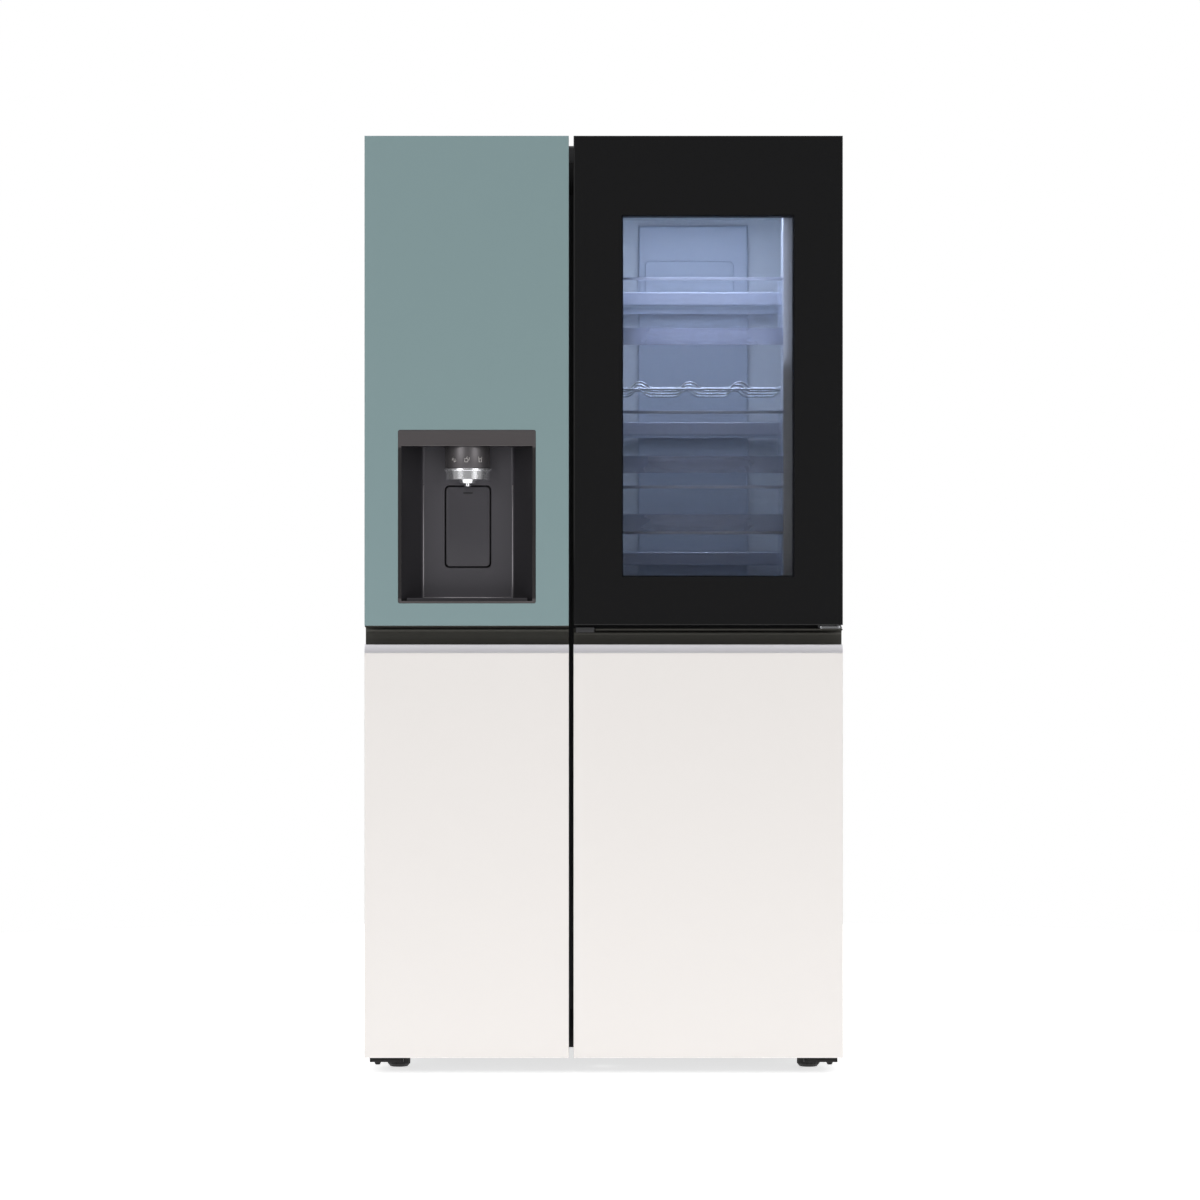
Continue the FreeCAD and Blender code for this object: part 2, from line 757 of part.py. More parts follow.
def wave(left, right, first, pitch, count):
    """A wire's path along X with a smooth rise between each two bottles, as one tangent chain."""
    bend = 17.1
    steep = math.radians(49.6)
    run = bend * math.sin(steep)
    rise = bend * (1 - math.cos(steep))
    half = steep / 2
    mid_run = bend * math.sin(half)
    mid_rise = bend * (1 - math.cos(half))
    edges = []
    at = Vector(left, 0, 0)
    for n in range(count):
        top = Vector(first + pitch * n, 0, 2 * rise)
        foot = Vector(top.x - 2 * run, 0, 0)
        knee = Vector(top.x - run, 0, rise)
        far_knee = Vector(top.x + run, 0, rise)
        far_foot = Vector(top.x + 2 * run, 0, 0)
        edges.append(Part.LineSegment(at, foot).toShape())
        edges.append(Part.Arc(foot, Vector(foot.x + mid_run, 0, mid_rise), knee).toShape())
        edges.append(Part.Arc(knee, top, far_knee).toShape())
        edges.append(Part.Arc(far_knee, Vector(far_foot.x - mid_run, 0, mid_rise), far_foot).toShape())
        at = far_foot
    edges.append(Part.LineSegment(at, Vector(right, 0, 0)).toShape())
    return Part.Wire(edges)


def wine_rack():
    """A rack of bent wires with dips for bottles between the bends, and a straight rail in front."""
    left = value("fridge_left + liner + 7")
    right = value("fridge_right - liner - 7")
    path = wave(left, right, 71.5, 98.0, 4)
    section = Part.Wire(Part.Circle(Vector(left, 0, 0), Vector(1, 0, 0), 2.2).toShape())
    wires = []
    for depth in (-128, -20, 90, 200):
        wire = unique("Part::Feature", "wire")
        wire.Shape = path.makePipeShell([section], True, False)
        wire.Placement = Placement(Vector(0, depth, RACK_LEVEL), Rotation())
        wires.append(wire)
    sides = [
        block((x, f"{x} + 6"), ("-139", "208"), (f"{RACK_LEVEL} - 5", f"{RACK_LEVEL} + 5"))
        for x in (left - 3, right - 3)
    ]
    rail = rod((left, right), "-136", f"{RACK_LEVEL} - 2", "2.5", "x")
    return node(fuse(*wires, *sides, rail), "wine_rack")


def fridge_duct():
    """The rear air duct with rows of vents and a raised, rounded fan cover."""
    plate = block(("duct_left", "duct_right"), ("duct_front", "liner_back - liner"), ("500", "1676"))
    plate = rounded(plate, "5", lying_at("y", "duct_front"))
    raised = ("duct_front - 5", "duct_front + 1")
    cover = block(("duct_left + 14", "duct_right - 30"), raised, ("1506", "1602"))
    cover = rounded(cover, "10", along("y"))
    cover = rounded(cover, "2", lying_at("y", "duct_front - 5"))
    vents = []
    for height in (1424, 1178, 924, 640):
        for x in (("84", "138"), ("172", "198"), ("230", "286")):
            vents.append(block(x, ("duct_front - 1", "duct_front + 8"), (f"{height}", f"{height} + 12")))
    return node(cut(fuse(plate, cover), *vents), "fridge_air_duct")


def freezer_cover():
    """The cover in front of the evaporator, with a fan grille and rows of vents, and the fan's motor."""
    inside = ("freezer_left + liner + 1", "freezer_right - liner - 1")
    through = ("cover_front - 1", "cover_back + 1")
    plate = block(inside, ("cover_front", "cover_back"), ("step_top + liner + liner_radius + 2", "1655"))
    vents = []
    for height in (1330, 1090, 850, 620):
        for low in range(-370, -101, 45):
            vents.append(block((f"{low}", f"{low} + 32"), through, (f"{height}", f"{height} + 8")))
    grille = []
    for height in range(960, 1051, 15):
        reach = math.sqrt(54**2 - (height + 3 - 1005) ** 2)
        span = (f"-243 - {reach:.1f}", f"-243 + {reach:.1f}")
        grille.append(block(span, through, (f"{height}", f"{height} + 7")))
    motor = rod("-243", ("252", "liner_back - liner"), "1005", "15", "y")
    return node(group(cut(plate, *vents, *grille), motor), "freezer_air_cover")


def freezer_shelves():
    """Shelves with a solid front rail, laid on the liner's ledges."""
    shelves = []
    inside = ("freezer_left + liner + 1.5", "freezer_right - liner - 1.5")
    for level in FREEZER_SHELF_LEVELS:
        plate = block(inside, ("freezer_shelf_front", "cover_front - 4"), (f"{level}", f"{level} + 5"))
        rail = block(
            inside, ("freezer_shelf_front - 4", "freezer_shelf_front + 8"), (f"{level} - 8", f"{level} + 22")
        )
        rail = rounded(rail, "3", both(along("x"), lying_at("y", "freezer_shelf_front - 4")))
        ends = [
            block(x, ("freezer_shelf_front - 5", "freezer_shelf_front + 9"), (f"{level} - 10", f"{level}"))
            for x in (
                ("freezer_left", "freezer_left + liner + ledge + 1"),
                ("freezer_right - liner - ledge - 1", "freezer_right"),
            )
        ]
        shelves.append(fuse(plate, cut(rail, *ends)))
    return node(group(*shelves), "freezer_shelves")


def interior_lights():
    """Lamp lenses in the two ceilings."""
    lenses = [
        block(x, ("-90", "30"), ("liner_ceiling - liner - 7", "liner_ceiling - liner"))
        for x in (("105", "265"), ("-300", "-188"))
    ]
    lenses = [rounded(lens, "3", lying_at("z", "liner_ceiling - liner - 7")) for lens in lenses]
    return node(group(*lenses), "interior_light_lenses")


def drawer(label, x, y, z, radius="14"):
    """An open tub with a taller front and a finger lip along its top."""
    tub = rounded(block(x, y, z), radius, along("z"))
    room = block(
        (f"{x[0]} + 2.5", f"{x[1]} - 2.5"),
        (f"{y[0]} + 3", f"{y[1]} - 2.5"),
        (f"{z[0]} + 2.5", f"{z[1]} + 1"),
    )
    room = rounded(room, f"{radius} - 2.5", along("z"))
    tub = cut(tub, room)
    rails = [
        block((low, high), (f"{y[0]} + 20", f"{y[1]} - 20"), (f"{z[1]} - 5", z[1]))
        for low, high in ((f"{x[0]} - 6", f"{x[0]} + 1"), (f"{x[1]} - 1", f"{x[1]} + 6"))
    ]
    face = block((f"{x[0]} - 1", f"{x[1]} + 1"), (f"{y[0]} - 5", f"{y[0]} + 1"), (z[0], f"{z[1]} + 9"))
    face = rounded(face, "4", lying_at("y", f"{y[0]} - 5"))
    grip = block(
        (f"{x[0]} + 90", f"{x[1]} - 90"), (f"{y[0]} - 15", f"{y[0]} - 4"), (f"{z[1]} - 8", f"{z[1]} - 1")
    )
    grip = rounded(grip, "3", both(along("x"), lying_at("y", f"{y[0]} - 15")))
    return node(fuse(tub, *rails, face, grip), label)


def bin_shape(x, y, z, rim):
    """A door bin: a tray with rounded corners, a thick floor edge and a rolled rim."""
    tray = rounded(block(x, y, z), "10", both(along("z"), lying_at("y", y[1])))
    room = block(
        (f"{x[0]} + bin_wall", f"{x[1]} - bin_wall"),
        (f"{y[0]} + bin_wall", f"{y[1]} - bin_wall"),
        (f"{z[0]} + 4", f"{z[1]} + 1"),
    )
    room = rounded(room, "8", both(along("z"), lying_at("y", f"{y[1]} - bin_wall")))
    bar = block((f"{x[0]} + 8", f"{x[1]} - 8"), (f"{rim} - 1.5", f"{rim} + 3"), (f"{z[1]} - 7", z[1]))
    return fuse(cut(tray, room), bar)


def fridge_bins():
    """Bins in the fridge door's opening, and deeper ones on its solid lower part."""
    bins = []
    for level, top in zip(DOOR_BIN_LEVELS, DOOR_BIN_RIMS):
        x = ("opening_left + 2", "wall_right - 2")
        bins.append(bin_shape(x, ("-313", "-206"), (f"{level}", f"{top}"), "-313 + 1.5"))
    for level in LOWER_BIN_LEVELS:
        height = (f"{level}", f"{level} + 105")
        bins.append(bin_shape(("14", "374"), ("leaf_back", "bin_back"), height, "bin_back - 3"))
    return node(group(*bins), "fridge_door_bins")


def freezer_bins():
    """Bins on the freezer door, under the ice maker."""
    bins = [
        bin_shape(("-370", "-140"), ("leaf_back", "bin_back"), (str(level), f"{level} + 100"), "bin_back - 3")
        for level in FREEZER_BIN_LEVELS
    ]
    return node(group(*bins), "freezer_door_bins")


def ice_maker():
    """The insulated ice-maker box on the freezer door, over the dispenser."""
    box = block(("-376", "-150"), ("leaf_back", "-140"), ("1232", "1600"))
    box = rounded(box, "12", lying_at("y", "-140"))
    seam = ring(("-366", "-160"), ("-141.5", "-139"), ("1246", "1586"), "2")
    pull = rounded(block(("-225", "-205"), ("-141", "-134"), ("1380", "1450")), "3", lying_at("y", "-134"))
    return node(fuse(cut(box, seam), pull), "ice_maker_box")


# ---------------------------------------------------------------- the two doors


def panel(label, x, z, *holes):
    """A front panel with softened outer edges."""
    sheet = rounded(block(x, ("front", "front + panel"), z), "panel_radius", lying_at("y", "front"))
    if holes:
        sheet = cut(sheet, *holes)
    return node(sheet, label)


def hinge_holes(side, top):
    """Blind holes for the upper and lower hinge pins."""
    return [
        rod(f"{side} * hinge_x", "hinge_y", (f"{top} - 27", f"{top} + 1"), "pin + pin_play"),
        rod(f"{side} * hinge_x", "hinge_y", ("door_bottom - 1", "door_bottom + 27"), "pin + pin_play"),
    ]


def wall(x, z, y=("leaf_back", "-222")):
    """A straight wall on a door's inner side, softened along its free edge."""
    long_axis = "z" if value(f"{z[1]} - ({z[0]})") > value(f"{x[1]} - ({x[0]})") else "x"
    return rounded(block(x, y, z), "4", both(along(long_axis), lying_at("y", y[1])))


def freezer_door():
    """The freezer door: foamed body, inner skin, two front panels, handle groove, gasket and bins."""
    x = ("-half_width", "split_left")
    inset = (f"{x[0]} + 0.5", f"{x[1]} - 0.5")
    body = block(inset, ("front + panel", "leaf_back - skin"), ("door_bottom", "leaf_top"))
    body = rounded(body, "3", both(along("z"), lying_at("y", "leaf_back - skin")))
    lip = block(inset, ("front + panel", "front + panel + lip"), ("leaf_top - 1", "lip_top"))
    beyond = (f"{x[0]} - 1", f"{x[1]} + 1")
    groove = block(beyond, ("front", "pocket_back"), ("pocket_floor", "freezer_pocket_top"))
    bay = block(
        ("niche_left + 1", "niche_right - 1"),
        ("front", "pad_pocket_back + niche_shell + 0.5"),
        ("niche_bottom + 1", "niche_top - 1"),
    )
    node(cut(fuse(body, lip), groove, bay, *hinge_holes(-1, "leaf_top")), "freezer_door_body")

    sheet = block(("-448", "-75"), ("leaf_back - skin", "leaf_back"), ("door_bottom + 6", "leaf_top - 6"))
    ridges = [
        wall(("-392", "-380"), ("152", "1650")),
        wall(("-138", "-126"), ("152", "1650")),
        wall(("-392", "-126"), ("140", "152")),
        wall(("-392", "-126"), ("1650", "1662")),
    ]
    node(group(sheet, *ridges), "freezer_door_liner")

    through = ("front - 1", "front + panel + 1")
    hole = block(("niche_left", "niche_right"), through, ("niche_bottom", "niche_top"))
    hole = rounded(hole, "4", along("y"))
    panel("freezer_upper_panel", x, ("freezer_pocket_top", "height"), hole)
    panel("freezer_lower_panel", x, ("door_bottom", "lower_panel_top"))
    handle("freezer", x, "freezer_pocket_top")
    gasket("freezer_door_gasket", ("-422", "-72"))
    freezer_bins()
    ice_maker()


def fridge_door():
    """The fridge door: a full-depth lower part, and a shallower frame behind the outer door."""
    x = ("split_right", "half_width")
    inset = (f"{x[0]} + 0.5", f"{x[1]} - 0.5")
    back = "leaf_back - skin"
    shallow = ("frame_front", back)
    across = ("opening_left - wall", "opening_right")
    beside = ("opening_bottom - wall", "opening_top + wall")
    upper_hole, lower_hole = hinge_holes(1, "leaf_top")
    members = [
        cut(block(inset, ("front + panel", back), ("door_bottom", "pocket_floor")), lower_hole),
        block(inset, ("pocket_back", back), ("pocket_floor", "fridge_pocket_top")),
        block(inset, shallow, ("fridge_pocket_top", beside[0])),
        block((inset[0], across[0]), shallow, beside),
        block((across[1], inset[1]), shallow, beside),
        cut(block(inset, shallow, (beside[1], "leaf_top")), upper_hole),
    ]
    node(group(*members), "fridge_door_body")

    skin = (back, "leaf_back")
    sheets = [
        block(("-49", "448"), skin, ("door_bottom + 6", beside[0])),
        block(("-49", "448"), skin, (beside[1], "leaf_top - 6")),
        block(("-49", across[0]), skin, beside),
        block((across[1], "448"), skin, beside),
    ]
    tunnel = ("frame_front + 0.5", "wall_depth")
    upright = ("opening_bottom", "opening_top")
    tower = [
        wall((across[0], "opening_left"), upright, tunnel),
        wall(("wall_right", across[1]), upright, tunnel),
        wall(across, (beside[0], upright[0]), tunnel),
        wall(across, (upright[1], beside[1]), tunnel),
    ]
    ridges = [
        wall(("2", "12"), ("152", "opening_bottom - wall")),
        wall(("376", "386"), ("152", "opening_bottom - wall")),
        wall(("2", "386"), ("140", "152")),
    ]
    node(group(*sheets, *tower, *ridges), "fridge_door_liner")

    panel("fridge_lower_panel", x, ("door_bottom", "lower_panel_top"))
    handle("fridge", x, "fridge_pocket_top")
    gasket("fridge_door_gasket", ("-52", "422"))
    fridge_bins()


def handle(side, x, top):
    """The dark finger groove across a door, and the bright grip trim under it."""
    back = "pocket_back"
    floor = "pocket_floor"
    points = [
        ("front + panel", top),
        (back, top),
        (back, floor),
        ("front + 15", floor),
        ("front + 15", f"{floor} + 3"),
        (f"{back} - 3", f"{floor} + 3"),
        (f"{back} - 3", f"{top} - 3"),
        ("front + panel", f"{top} - 3"),
    ]
    trough = extruded(points, (f"{x[0]} + 0.5", f"{x[1]} - 0.5"))
    inner = value(f"{back} - 3")
    trough = soften(trough, "9", lambda e: along("x")(e) and abs(e.BoundBox.YMin - inner) < 1e-3)
    if side == "fridge":
        slit = block(("-56", "-15"), ("front", "front + 34"), (f"{top} - 4", f"{top} + 1"))
        trough = cut(trough, slit)
    node(trough, f"{side}_handle_groove")
    grip = [
        ("front", "lower_panel_top"),
        ("front + 0.6", "lower_panel_top + 3"),
        ("front + 4.5", "trim_top - 1"),
        ("front + 6.5", "trim_top"),
        ("front + 15", "trim_top"),
        ("front + 15", "pocket_floor"),
        ("front + 4", "pocket_floor"),
        ("front + 4", "lower_panel_top"),
    ]
    node(extruded(grip, x), f"{side}_handle_trim")


def gasket(label, x):
    """A magnetic gasket: a wide base in the door's groove and a narrower lip that meets the case."""
    z = ("gasket_bottom", "gasket_top")
    base = ring(x, ("leaf_back", "leaf_back + 5"), z, "gasket")
    neck = ring(
        (f"{x[0]} + 4", f"{x[1]} - 4"),
        ("leaf_back + 4", "leaf_back + 10"),
        (f"{z[0]} + 4", f"{z[1]} - 4"),
        "gasket - 8",
    )
    lip = ring(
        (f"{x[0]} + 1", f"{x[1]} - 1"),
        ("leaf_back + 9", "case_front - gasket_gap"),
        (f"{z[0]} + 1", f"{z[1]} - 1"),
        "gasket - 2",
    )
    return node(fuse(base, neck, lip), label)


# ---------------------------------------------------------------- the dispenser


def dispenser():
    """Niche, fascia, head with its bright ring and nozzle, paddle and drip tray."""
    rim = "niche_rim"
    taper = "niche_taper"
    x = (f"niche_left + {rim}", f"niche_right - {rim}")
    x_far = (f"{x[0]} + {taper}", f"{x[1]} - {taper}")
    z = (f"niche_bottom + {rim} - 2", "niche_ceiling")
    start = "front + panel"
    void = tapered(x, (start, "niche_back"), z, x_far, z)
    shell = "niche_shell"
    skin = tapered(
        (f"{x[0]} - {shell}", f"{x[1]} + {shell}"),
        (start, f"niche_back + {shell}"),
        (f"{z[0]} - {shell}", f"{z[1]} + {shell}"),
        (f"{x_far[0]} - {shell}", f"{x_far[1]} + {shell}"),
        (f"{z[0]} - {shell}", f"{z[1]} + {shell}"),
    )
    room = ("head_x - pad_half_width - pad_gap", "head_x + pad_half_width + pad_gap")
    room_z = ("pad_bottom - pad_gap", "pad_top + pad_gap")
    well = block(room, ("niche_back - 1", "pad_pocket_back"), room_z)
    well = rounded(well, "9", along("y"))
    casing = block(
        (f"{room[0]} - {shell}", f"{room[1]} + {shell}"),
        ("niche_back", f"pad_pocket_back + {shell}"),
        (f"{room_z[0]} - {shell}", f"{room_z[1]} + {shell}"),
    )
    fold = cut(fuse(skin, casing), void)
    fold = rounded(fold, "5", both(along("z"), lying_at("y", "niche_back")))
    node(cut(fold, well), "dispenser_niche")

    face = block(
        ("niche_left + 0.3", "niche_right - 0.3"), ("front", start), ("niche_bottom + 0.3", "niche_top - 0.3")
    )
    face = rounded(face, "4", along("y"))
    mouth = block(x, ("front - 1", f"{start} + 1"), z)
    node(rounded(cut(face, mouth), "1.2", lying_at("y", "front")), "dispenser_fascia")

    forward = block(("head_x - 80", "head_x + 80"), ("front - 10", "niche_back - 0.2"), ("1100", "1220"))
    head = rod("head_x", "head_y", ("head_bottom", "niche_ceiling"), "head_radius")
    node(common(head, forward), "dispenser_head")

    tall = "head_bottom - ring_bottom"
    profile = [
        ("0", "0"),
        ("ring_radius - 5", "0"),
        ("ring_radius - 4", f"{tall} - 5"),
        ("ring_radius", f"{tall} - 4"),
        ("ring_radius", f"{tall} - 1"),
        ("ring_radius - 1", tall),
        ("0", tall),
    ]
    collar = turned(profile, "head_x", "head_y", "ring_bottom")
    node(common(collar, forward), "dispenser_ring")

    profile = [("0", "0"), ("5.2", "0"), ("5.6", "2"), ("5.6", "6"), ("15", "6"), ("18", "13"), ("0", "13")]
    node(turned(profile, "head_x", "head_y", "nozzle_bottom"), "dispenser_nozzle")

    pad = block(
        ("head_x - pad_half_width", "head_x + pad_half_width"),
        ("niche_back - 1", "niche_back - 1 + pad_thickness"),
        ("pad_bottom", "pad_top"),
    )
    pad = rounded(pad, "7", along("y"))
    dish = rod("head_x", "niche_back + 0.5 - pad_dish", ("pad_bottom - 1", "pad_top + 1"), "pad_dish")
    pad = cut(pad, dish)
    axle = rod(("head_x - 38", "head_x + 38"), "niche_back + 6", "pad_top - 6", "3", "x")
    node(fuse(pad, axle), "dispenser_paddle")

    tray = tapered(
        (f"{x[0]} + 10", f"{x[1]} - 10"),
        ("front + 8", "niche_back - 2"),
        (z[0], f"{z[0]} + 6"),
        (f"{x_far[0]} + 10", f"{x_far[1]} - 10"),
        (z[0], f"{z[0]} + 6"),
    )
    slit_y = ("front + 18", "niche_back - 12")
    slit_z = (f"{z[0]} + 3", f"{z[0]} + 7")
    slits = [block((f"head_x + {at}", f"head_x + {at} + 4"), slit_y, slit_z) for at in range(-60, 61, 12)]
    node(cut(tray, *slits), "drip_tray")


# ---------------------------------------------------------------- the outer door


def outer_door():
    """The door over the fridge door's opening: glazed window in a black glass front."""
    x = ("split_right", "half_width")
    inset = (f"{x[0]} + 0.5", f"{x[1]} - 0.5")
    leaf = block(inset, ("front + panel", "outer_back"), ("outer_bottom", "outer_leaf_top"))
    lip_y = ("front + panel", "front + panel + lip - 1")
    lip = block((inset[0], "400"), lip_y, ("outer_leaf_top - 1", "lip_top"))
    seat = block(
        ("window_left - window_seat", "window_right + window_seat"),
        ("front", "outer_back + 1"),
        ("window_bottom - window_seat", "window_top + window_seat"),
    )
    pin_holes = [
        rod("outer_hinge_x", "outer_hinge_y", z, "outer_pin + pin_play")
        for z in (("outer_leaf_top - 22", "outer_leaf_top + 1"), ("outer_bottom - 1", "outer_bottom + 22"))
    ]
    node(cut(fuse(leaf, lip), seat, *pin_holes), "outer_door_frame")

    through = ("front - 1", "front + panel + 1")
    hole = block(("window_left", "window_right"), through, ("window_bottom", "window_top"))
    hole = rounded(hole, "2", along("y"))
    panel("outer_door_glass", x, ("outer_bottom", "height"), hole)

    front_pane = block(
        ("window_left + 0.2", "window_right - 0.2"),
        ("front + 0.2", "front + panel"),
        ("window_bottom + 0.2", "window_top - 0.2"),
    )
    front_pane = rounded(front_pane, "2", along("y"))
    seat_span = (
        ("window_left - window_seat + 0.5", "window_right + window_seat - 0.5"),
        ("window_bottom - window_seat + 0.5", "window_top + window_seat - 0.5"),
    )
    panes = [
        block(seat_span[0], (f"glazing_back - {at} - 3", f"glazing_back - {at}"), seat_span[1])
        for at in (0, 14)
    ]
    node(group(front_pane, *panes), "window_glazing")
    spacer = ring(seat_span[0], ("front + panel + 0.2", "glazing_back + 4"), seat_span[1], "window_seat + 2")
    gaps = [
        block(
            ("window_left - window_seat", "window_right + window_seat"),
            (f"glazing_back - {at} - 3", f"glazing_back - {at}"),
            ("window_bottom - window_seat", "window_top + window_seat"),
        )
        for at in (0, 14)
    ]
    node(cut(spacer, *gaps), "glazing_spacer")

    seal = ring(
        ("opening_left - 24", "opening_right + 18"),
        ("outer_back", "frame_front - gasket_gap"),
        ("opening_bottom - 24", "opening_top + 24"),
        "12",
    )
    node(seal, "outer_door_gasket")

    brackets = []
    for plate_z, tab_z, pin_z in (
        (("849.5", "853.5"), ("849.5", "905"), ("853.5", "outer_bottom + 20")),
        (("1746.5", "1750.5"), ("1695", "1750.5"), ("outer_leaf_top - 20", "1746.5")),
    ):
        plate = block(("411", "451"), ("-345", "frame_front"), plate_z)
        arm = block(("411", "outer_hinge_x"), ("outer_hinge_y - outer_eye", "-344"), plate_z)
        arm = rounded(arm, "6", both(along("z"), lying_at("x", "411")))
        eye = rod("outer_hinge_x", "outer_hinge_y", plate_z, "outer_eye")
        tab = block(("411", "451"), ("frame_front - 3", "frame_front"), tab_z)
        pin = rod("outer_hinge_x", "outer_hinge_y", pin_z, "outer_pin")
        brackets.append(fuse(plate, arm, eye, tab, pin))
    node(group(*brackets), "outer_door_hinges")

    key = block(("-53.5", "-17.5"), ("front + 8", "front + 31"), ("842", "852"))
    node(rounded(key, "1.5", lambda e: True), "outer_door_release")


# ---------------------------------------------------------------- build everything


def place(thing, x, y, z, turn=None):
    """Moves a finished moving piece from its own origin to its place."""
    thing.Placement = Placement(Vector(x, y, z), turn or Rotation())


def build():
    case_shell()
    back_panel()
    insulation()
    fridge_ledges = [(level, "shelf_front + 20", "shelf_back") for level in (*SHELF_LEVELS, CRISPER_COVER)]
    fridge_ledges.append((RACK_LEVEL - 5, "-125", "205"))
    liner(
        "fridge_liner",
        "fridge_left",
        "fridge_right",
        "right",
        fridge_ledges,
        [(457, "rail_front", "240"), (301, "rail_front", "90")],
    )
    freezer_ledges = [(level, "freezer_shelf_front", "cover_front - 4") for level in FREEZER_SHELF_LEVELS]
    liner(
        "freezer_liner",
        "freezer_left",
        "freezer_right",
        "left",
        freezer_ledges,
        [(557, "rail_front", "190"), (301, "rail_front", "90")],
    )
    base_frame()
    top_cover()
    door_hinges()
    front_block()
    machine_cover()
    compressor()
    condenser()
    evaporator()
    place(fan("condenser_fan", 5, 58, 18, 22), 40, 250, 150, Rotation(Vector(0, 0, 1), 90))
    place(fan("evaporator_fan", 5, 48, 16, 18), -243, 240, 1005)
    levelling_foot("levelling_foot_left", -1)
    levelling_foot("levelling_foot_right", 1)
    rear_roller("rear_roller_left", -1)
    rear_roller("rear_roller_right", 1)
    fridge_shelves()
    wine_rack()
    fridge_duct()
    freezer_cover()
    freezer_shelves()
    interior_lights()
    fridge_span = ("fridge_left + liner + drawer_inset", "fridge_right - liner - drawer_inset")
    drawer("crisper_drawer_upper", fridge_span, ("drawer_front", "262"), ("332", "457"))
    drawer("crisper_drawer_lower", fridge_span, ("drawer_front", "100"), ("118", "301"))
    freezer_span = ("freezer_left + liner + drawer_inset", "freezer_right - liner - drawer_inset")
    drawer("freezer_drawer_upper", freezer_span, ("drawer_front", "206"), ("332", "557"))
    drawer("freezer_drawer_lower", freezer_span, ("drawer_front", "100"), ("118", "301"))
    freezer_door()
    dispenser()
    fridge_door()
    outer_door()


def write():
    """Checks every object and writes one STEP file for each sub-part."""
    doc.recompute()
    for thing in doc.Objects:
        if "Invalid" in thing.State or "Error" in thing.State:
            raise RuntimeError(f"{thing.Name} ({thing.Label}) failed: {thing.State}")
    labels = [thing.Label for thing in nodes]
    if len(set(labels)) != len(labels):
        raise RuntimeError("two sub-parts share a label")
    os.makedirs("parts", exist_ok=True)
    for old in os.listdir("parts"):
        os.remove(os.path.join("parts", old))
    for thing in nodes:
        shape = thing.Shape
        if shape.isNull() or not shape.isValid() or not shape.Solids:
            raise RuntimeError(f"{thing.Label} has no valid solid")
        shape.exportStep(os.path.join("parts", thing.Label + ".step"))
        print(f"{thing.Label}: {len(shape.Solids)} solids, {shape.Volume / 1000:.1f} cm3")
    print(len(nodes), "nodes")


build()
write()
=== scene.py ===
"""The looks of a side by side refrigerator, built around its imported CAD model. Metres, +Z up, doors to -Y."""

import json
import math

import bmesh
import bpy
from mathutils import Matrix, Vector


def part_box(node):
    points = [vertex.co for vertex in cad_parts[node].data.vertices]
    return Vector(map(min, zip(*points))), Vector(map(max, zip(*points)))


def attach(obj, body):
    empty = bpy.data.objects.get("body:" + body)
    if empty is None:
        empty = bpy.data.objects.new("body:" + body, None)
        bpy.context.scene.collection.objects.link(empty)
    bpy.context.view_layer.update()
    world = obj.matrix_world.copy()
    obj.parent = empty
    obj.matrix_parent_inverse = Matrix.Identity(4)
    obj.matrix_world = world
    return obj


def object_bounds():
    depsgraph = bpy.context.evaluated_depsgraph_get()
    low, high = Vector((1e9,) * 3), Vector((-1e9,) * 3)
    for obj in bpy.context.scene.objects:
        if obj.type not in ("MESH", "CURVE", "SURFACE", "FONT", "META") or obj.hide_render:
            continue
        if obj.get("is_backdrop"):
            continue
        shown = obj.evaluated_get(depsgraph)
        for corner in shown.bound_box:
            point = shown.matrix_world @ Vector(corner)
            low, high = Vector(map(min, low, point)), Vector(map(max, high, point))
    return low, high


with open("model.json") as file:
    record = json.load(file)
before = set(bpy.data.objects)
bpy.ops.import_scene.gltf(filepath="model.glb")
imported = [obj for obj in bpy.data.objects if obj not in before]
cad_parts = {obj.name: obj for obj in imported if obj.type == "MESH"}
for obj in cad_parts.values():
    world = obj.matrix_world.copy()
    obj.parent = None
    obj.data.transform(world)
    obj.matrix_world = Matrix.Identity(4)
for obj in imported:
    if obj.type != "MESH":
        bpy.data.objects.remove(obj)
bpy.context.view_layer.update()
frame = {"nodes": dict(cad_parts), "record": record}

# ---------------------------------------------------------------- the object's main places

LOW, HIGH = (Vector(corner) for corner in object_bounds())
HEIGHT = HIGH.z
MM = 0.001
NICHE_BACK_Y = -301.5 * MM
CENTRE_STRIP_TOP = 1688 * MM
TOP_COVER_FOOT = 1749.5 * MM
SAME_PLACE = 0.01 * MM


# ---------------------------------------------------------------- materials


def srgb(red, green, blue):
    """A display colour from 0 to 255 as the linear colour that Blender's shaders take."""
    linear = []
    for value in (red, green, blue):
        share = value / 255
        linear.append(share / 12.92 if share <= 0.04045 else ((share + 0.055) / 1.055) ** 2.4)
    return (*linear, 1.0)


def shade(colour, factor):
    return tuple(min(1.0, part * factor) for part in colour[:3]) + (1.0,)


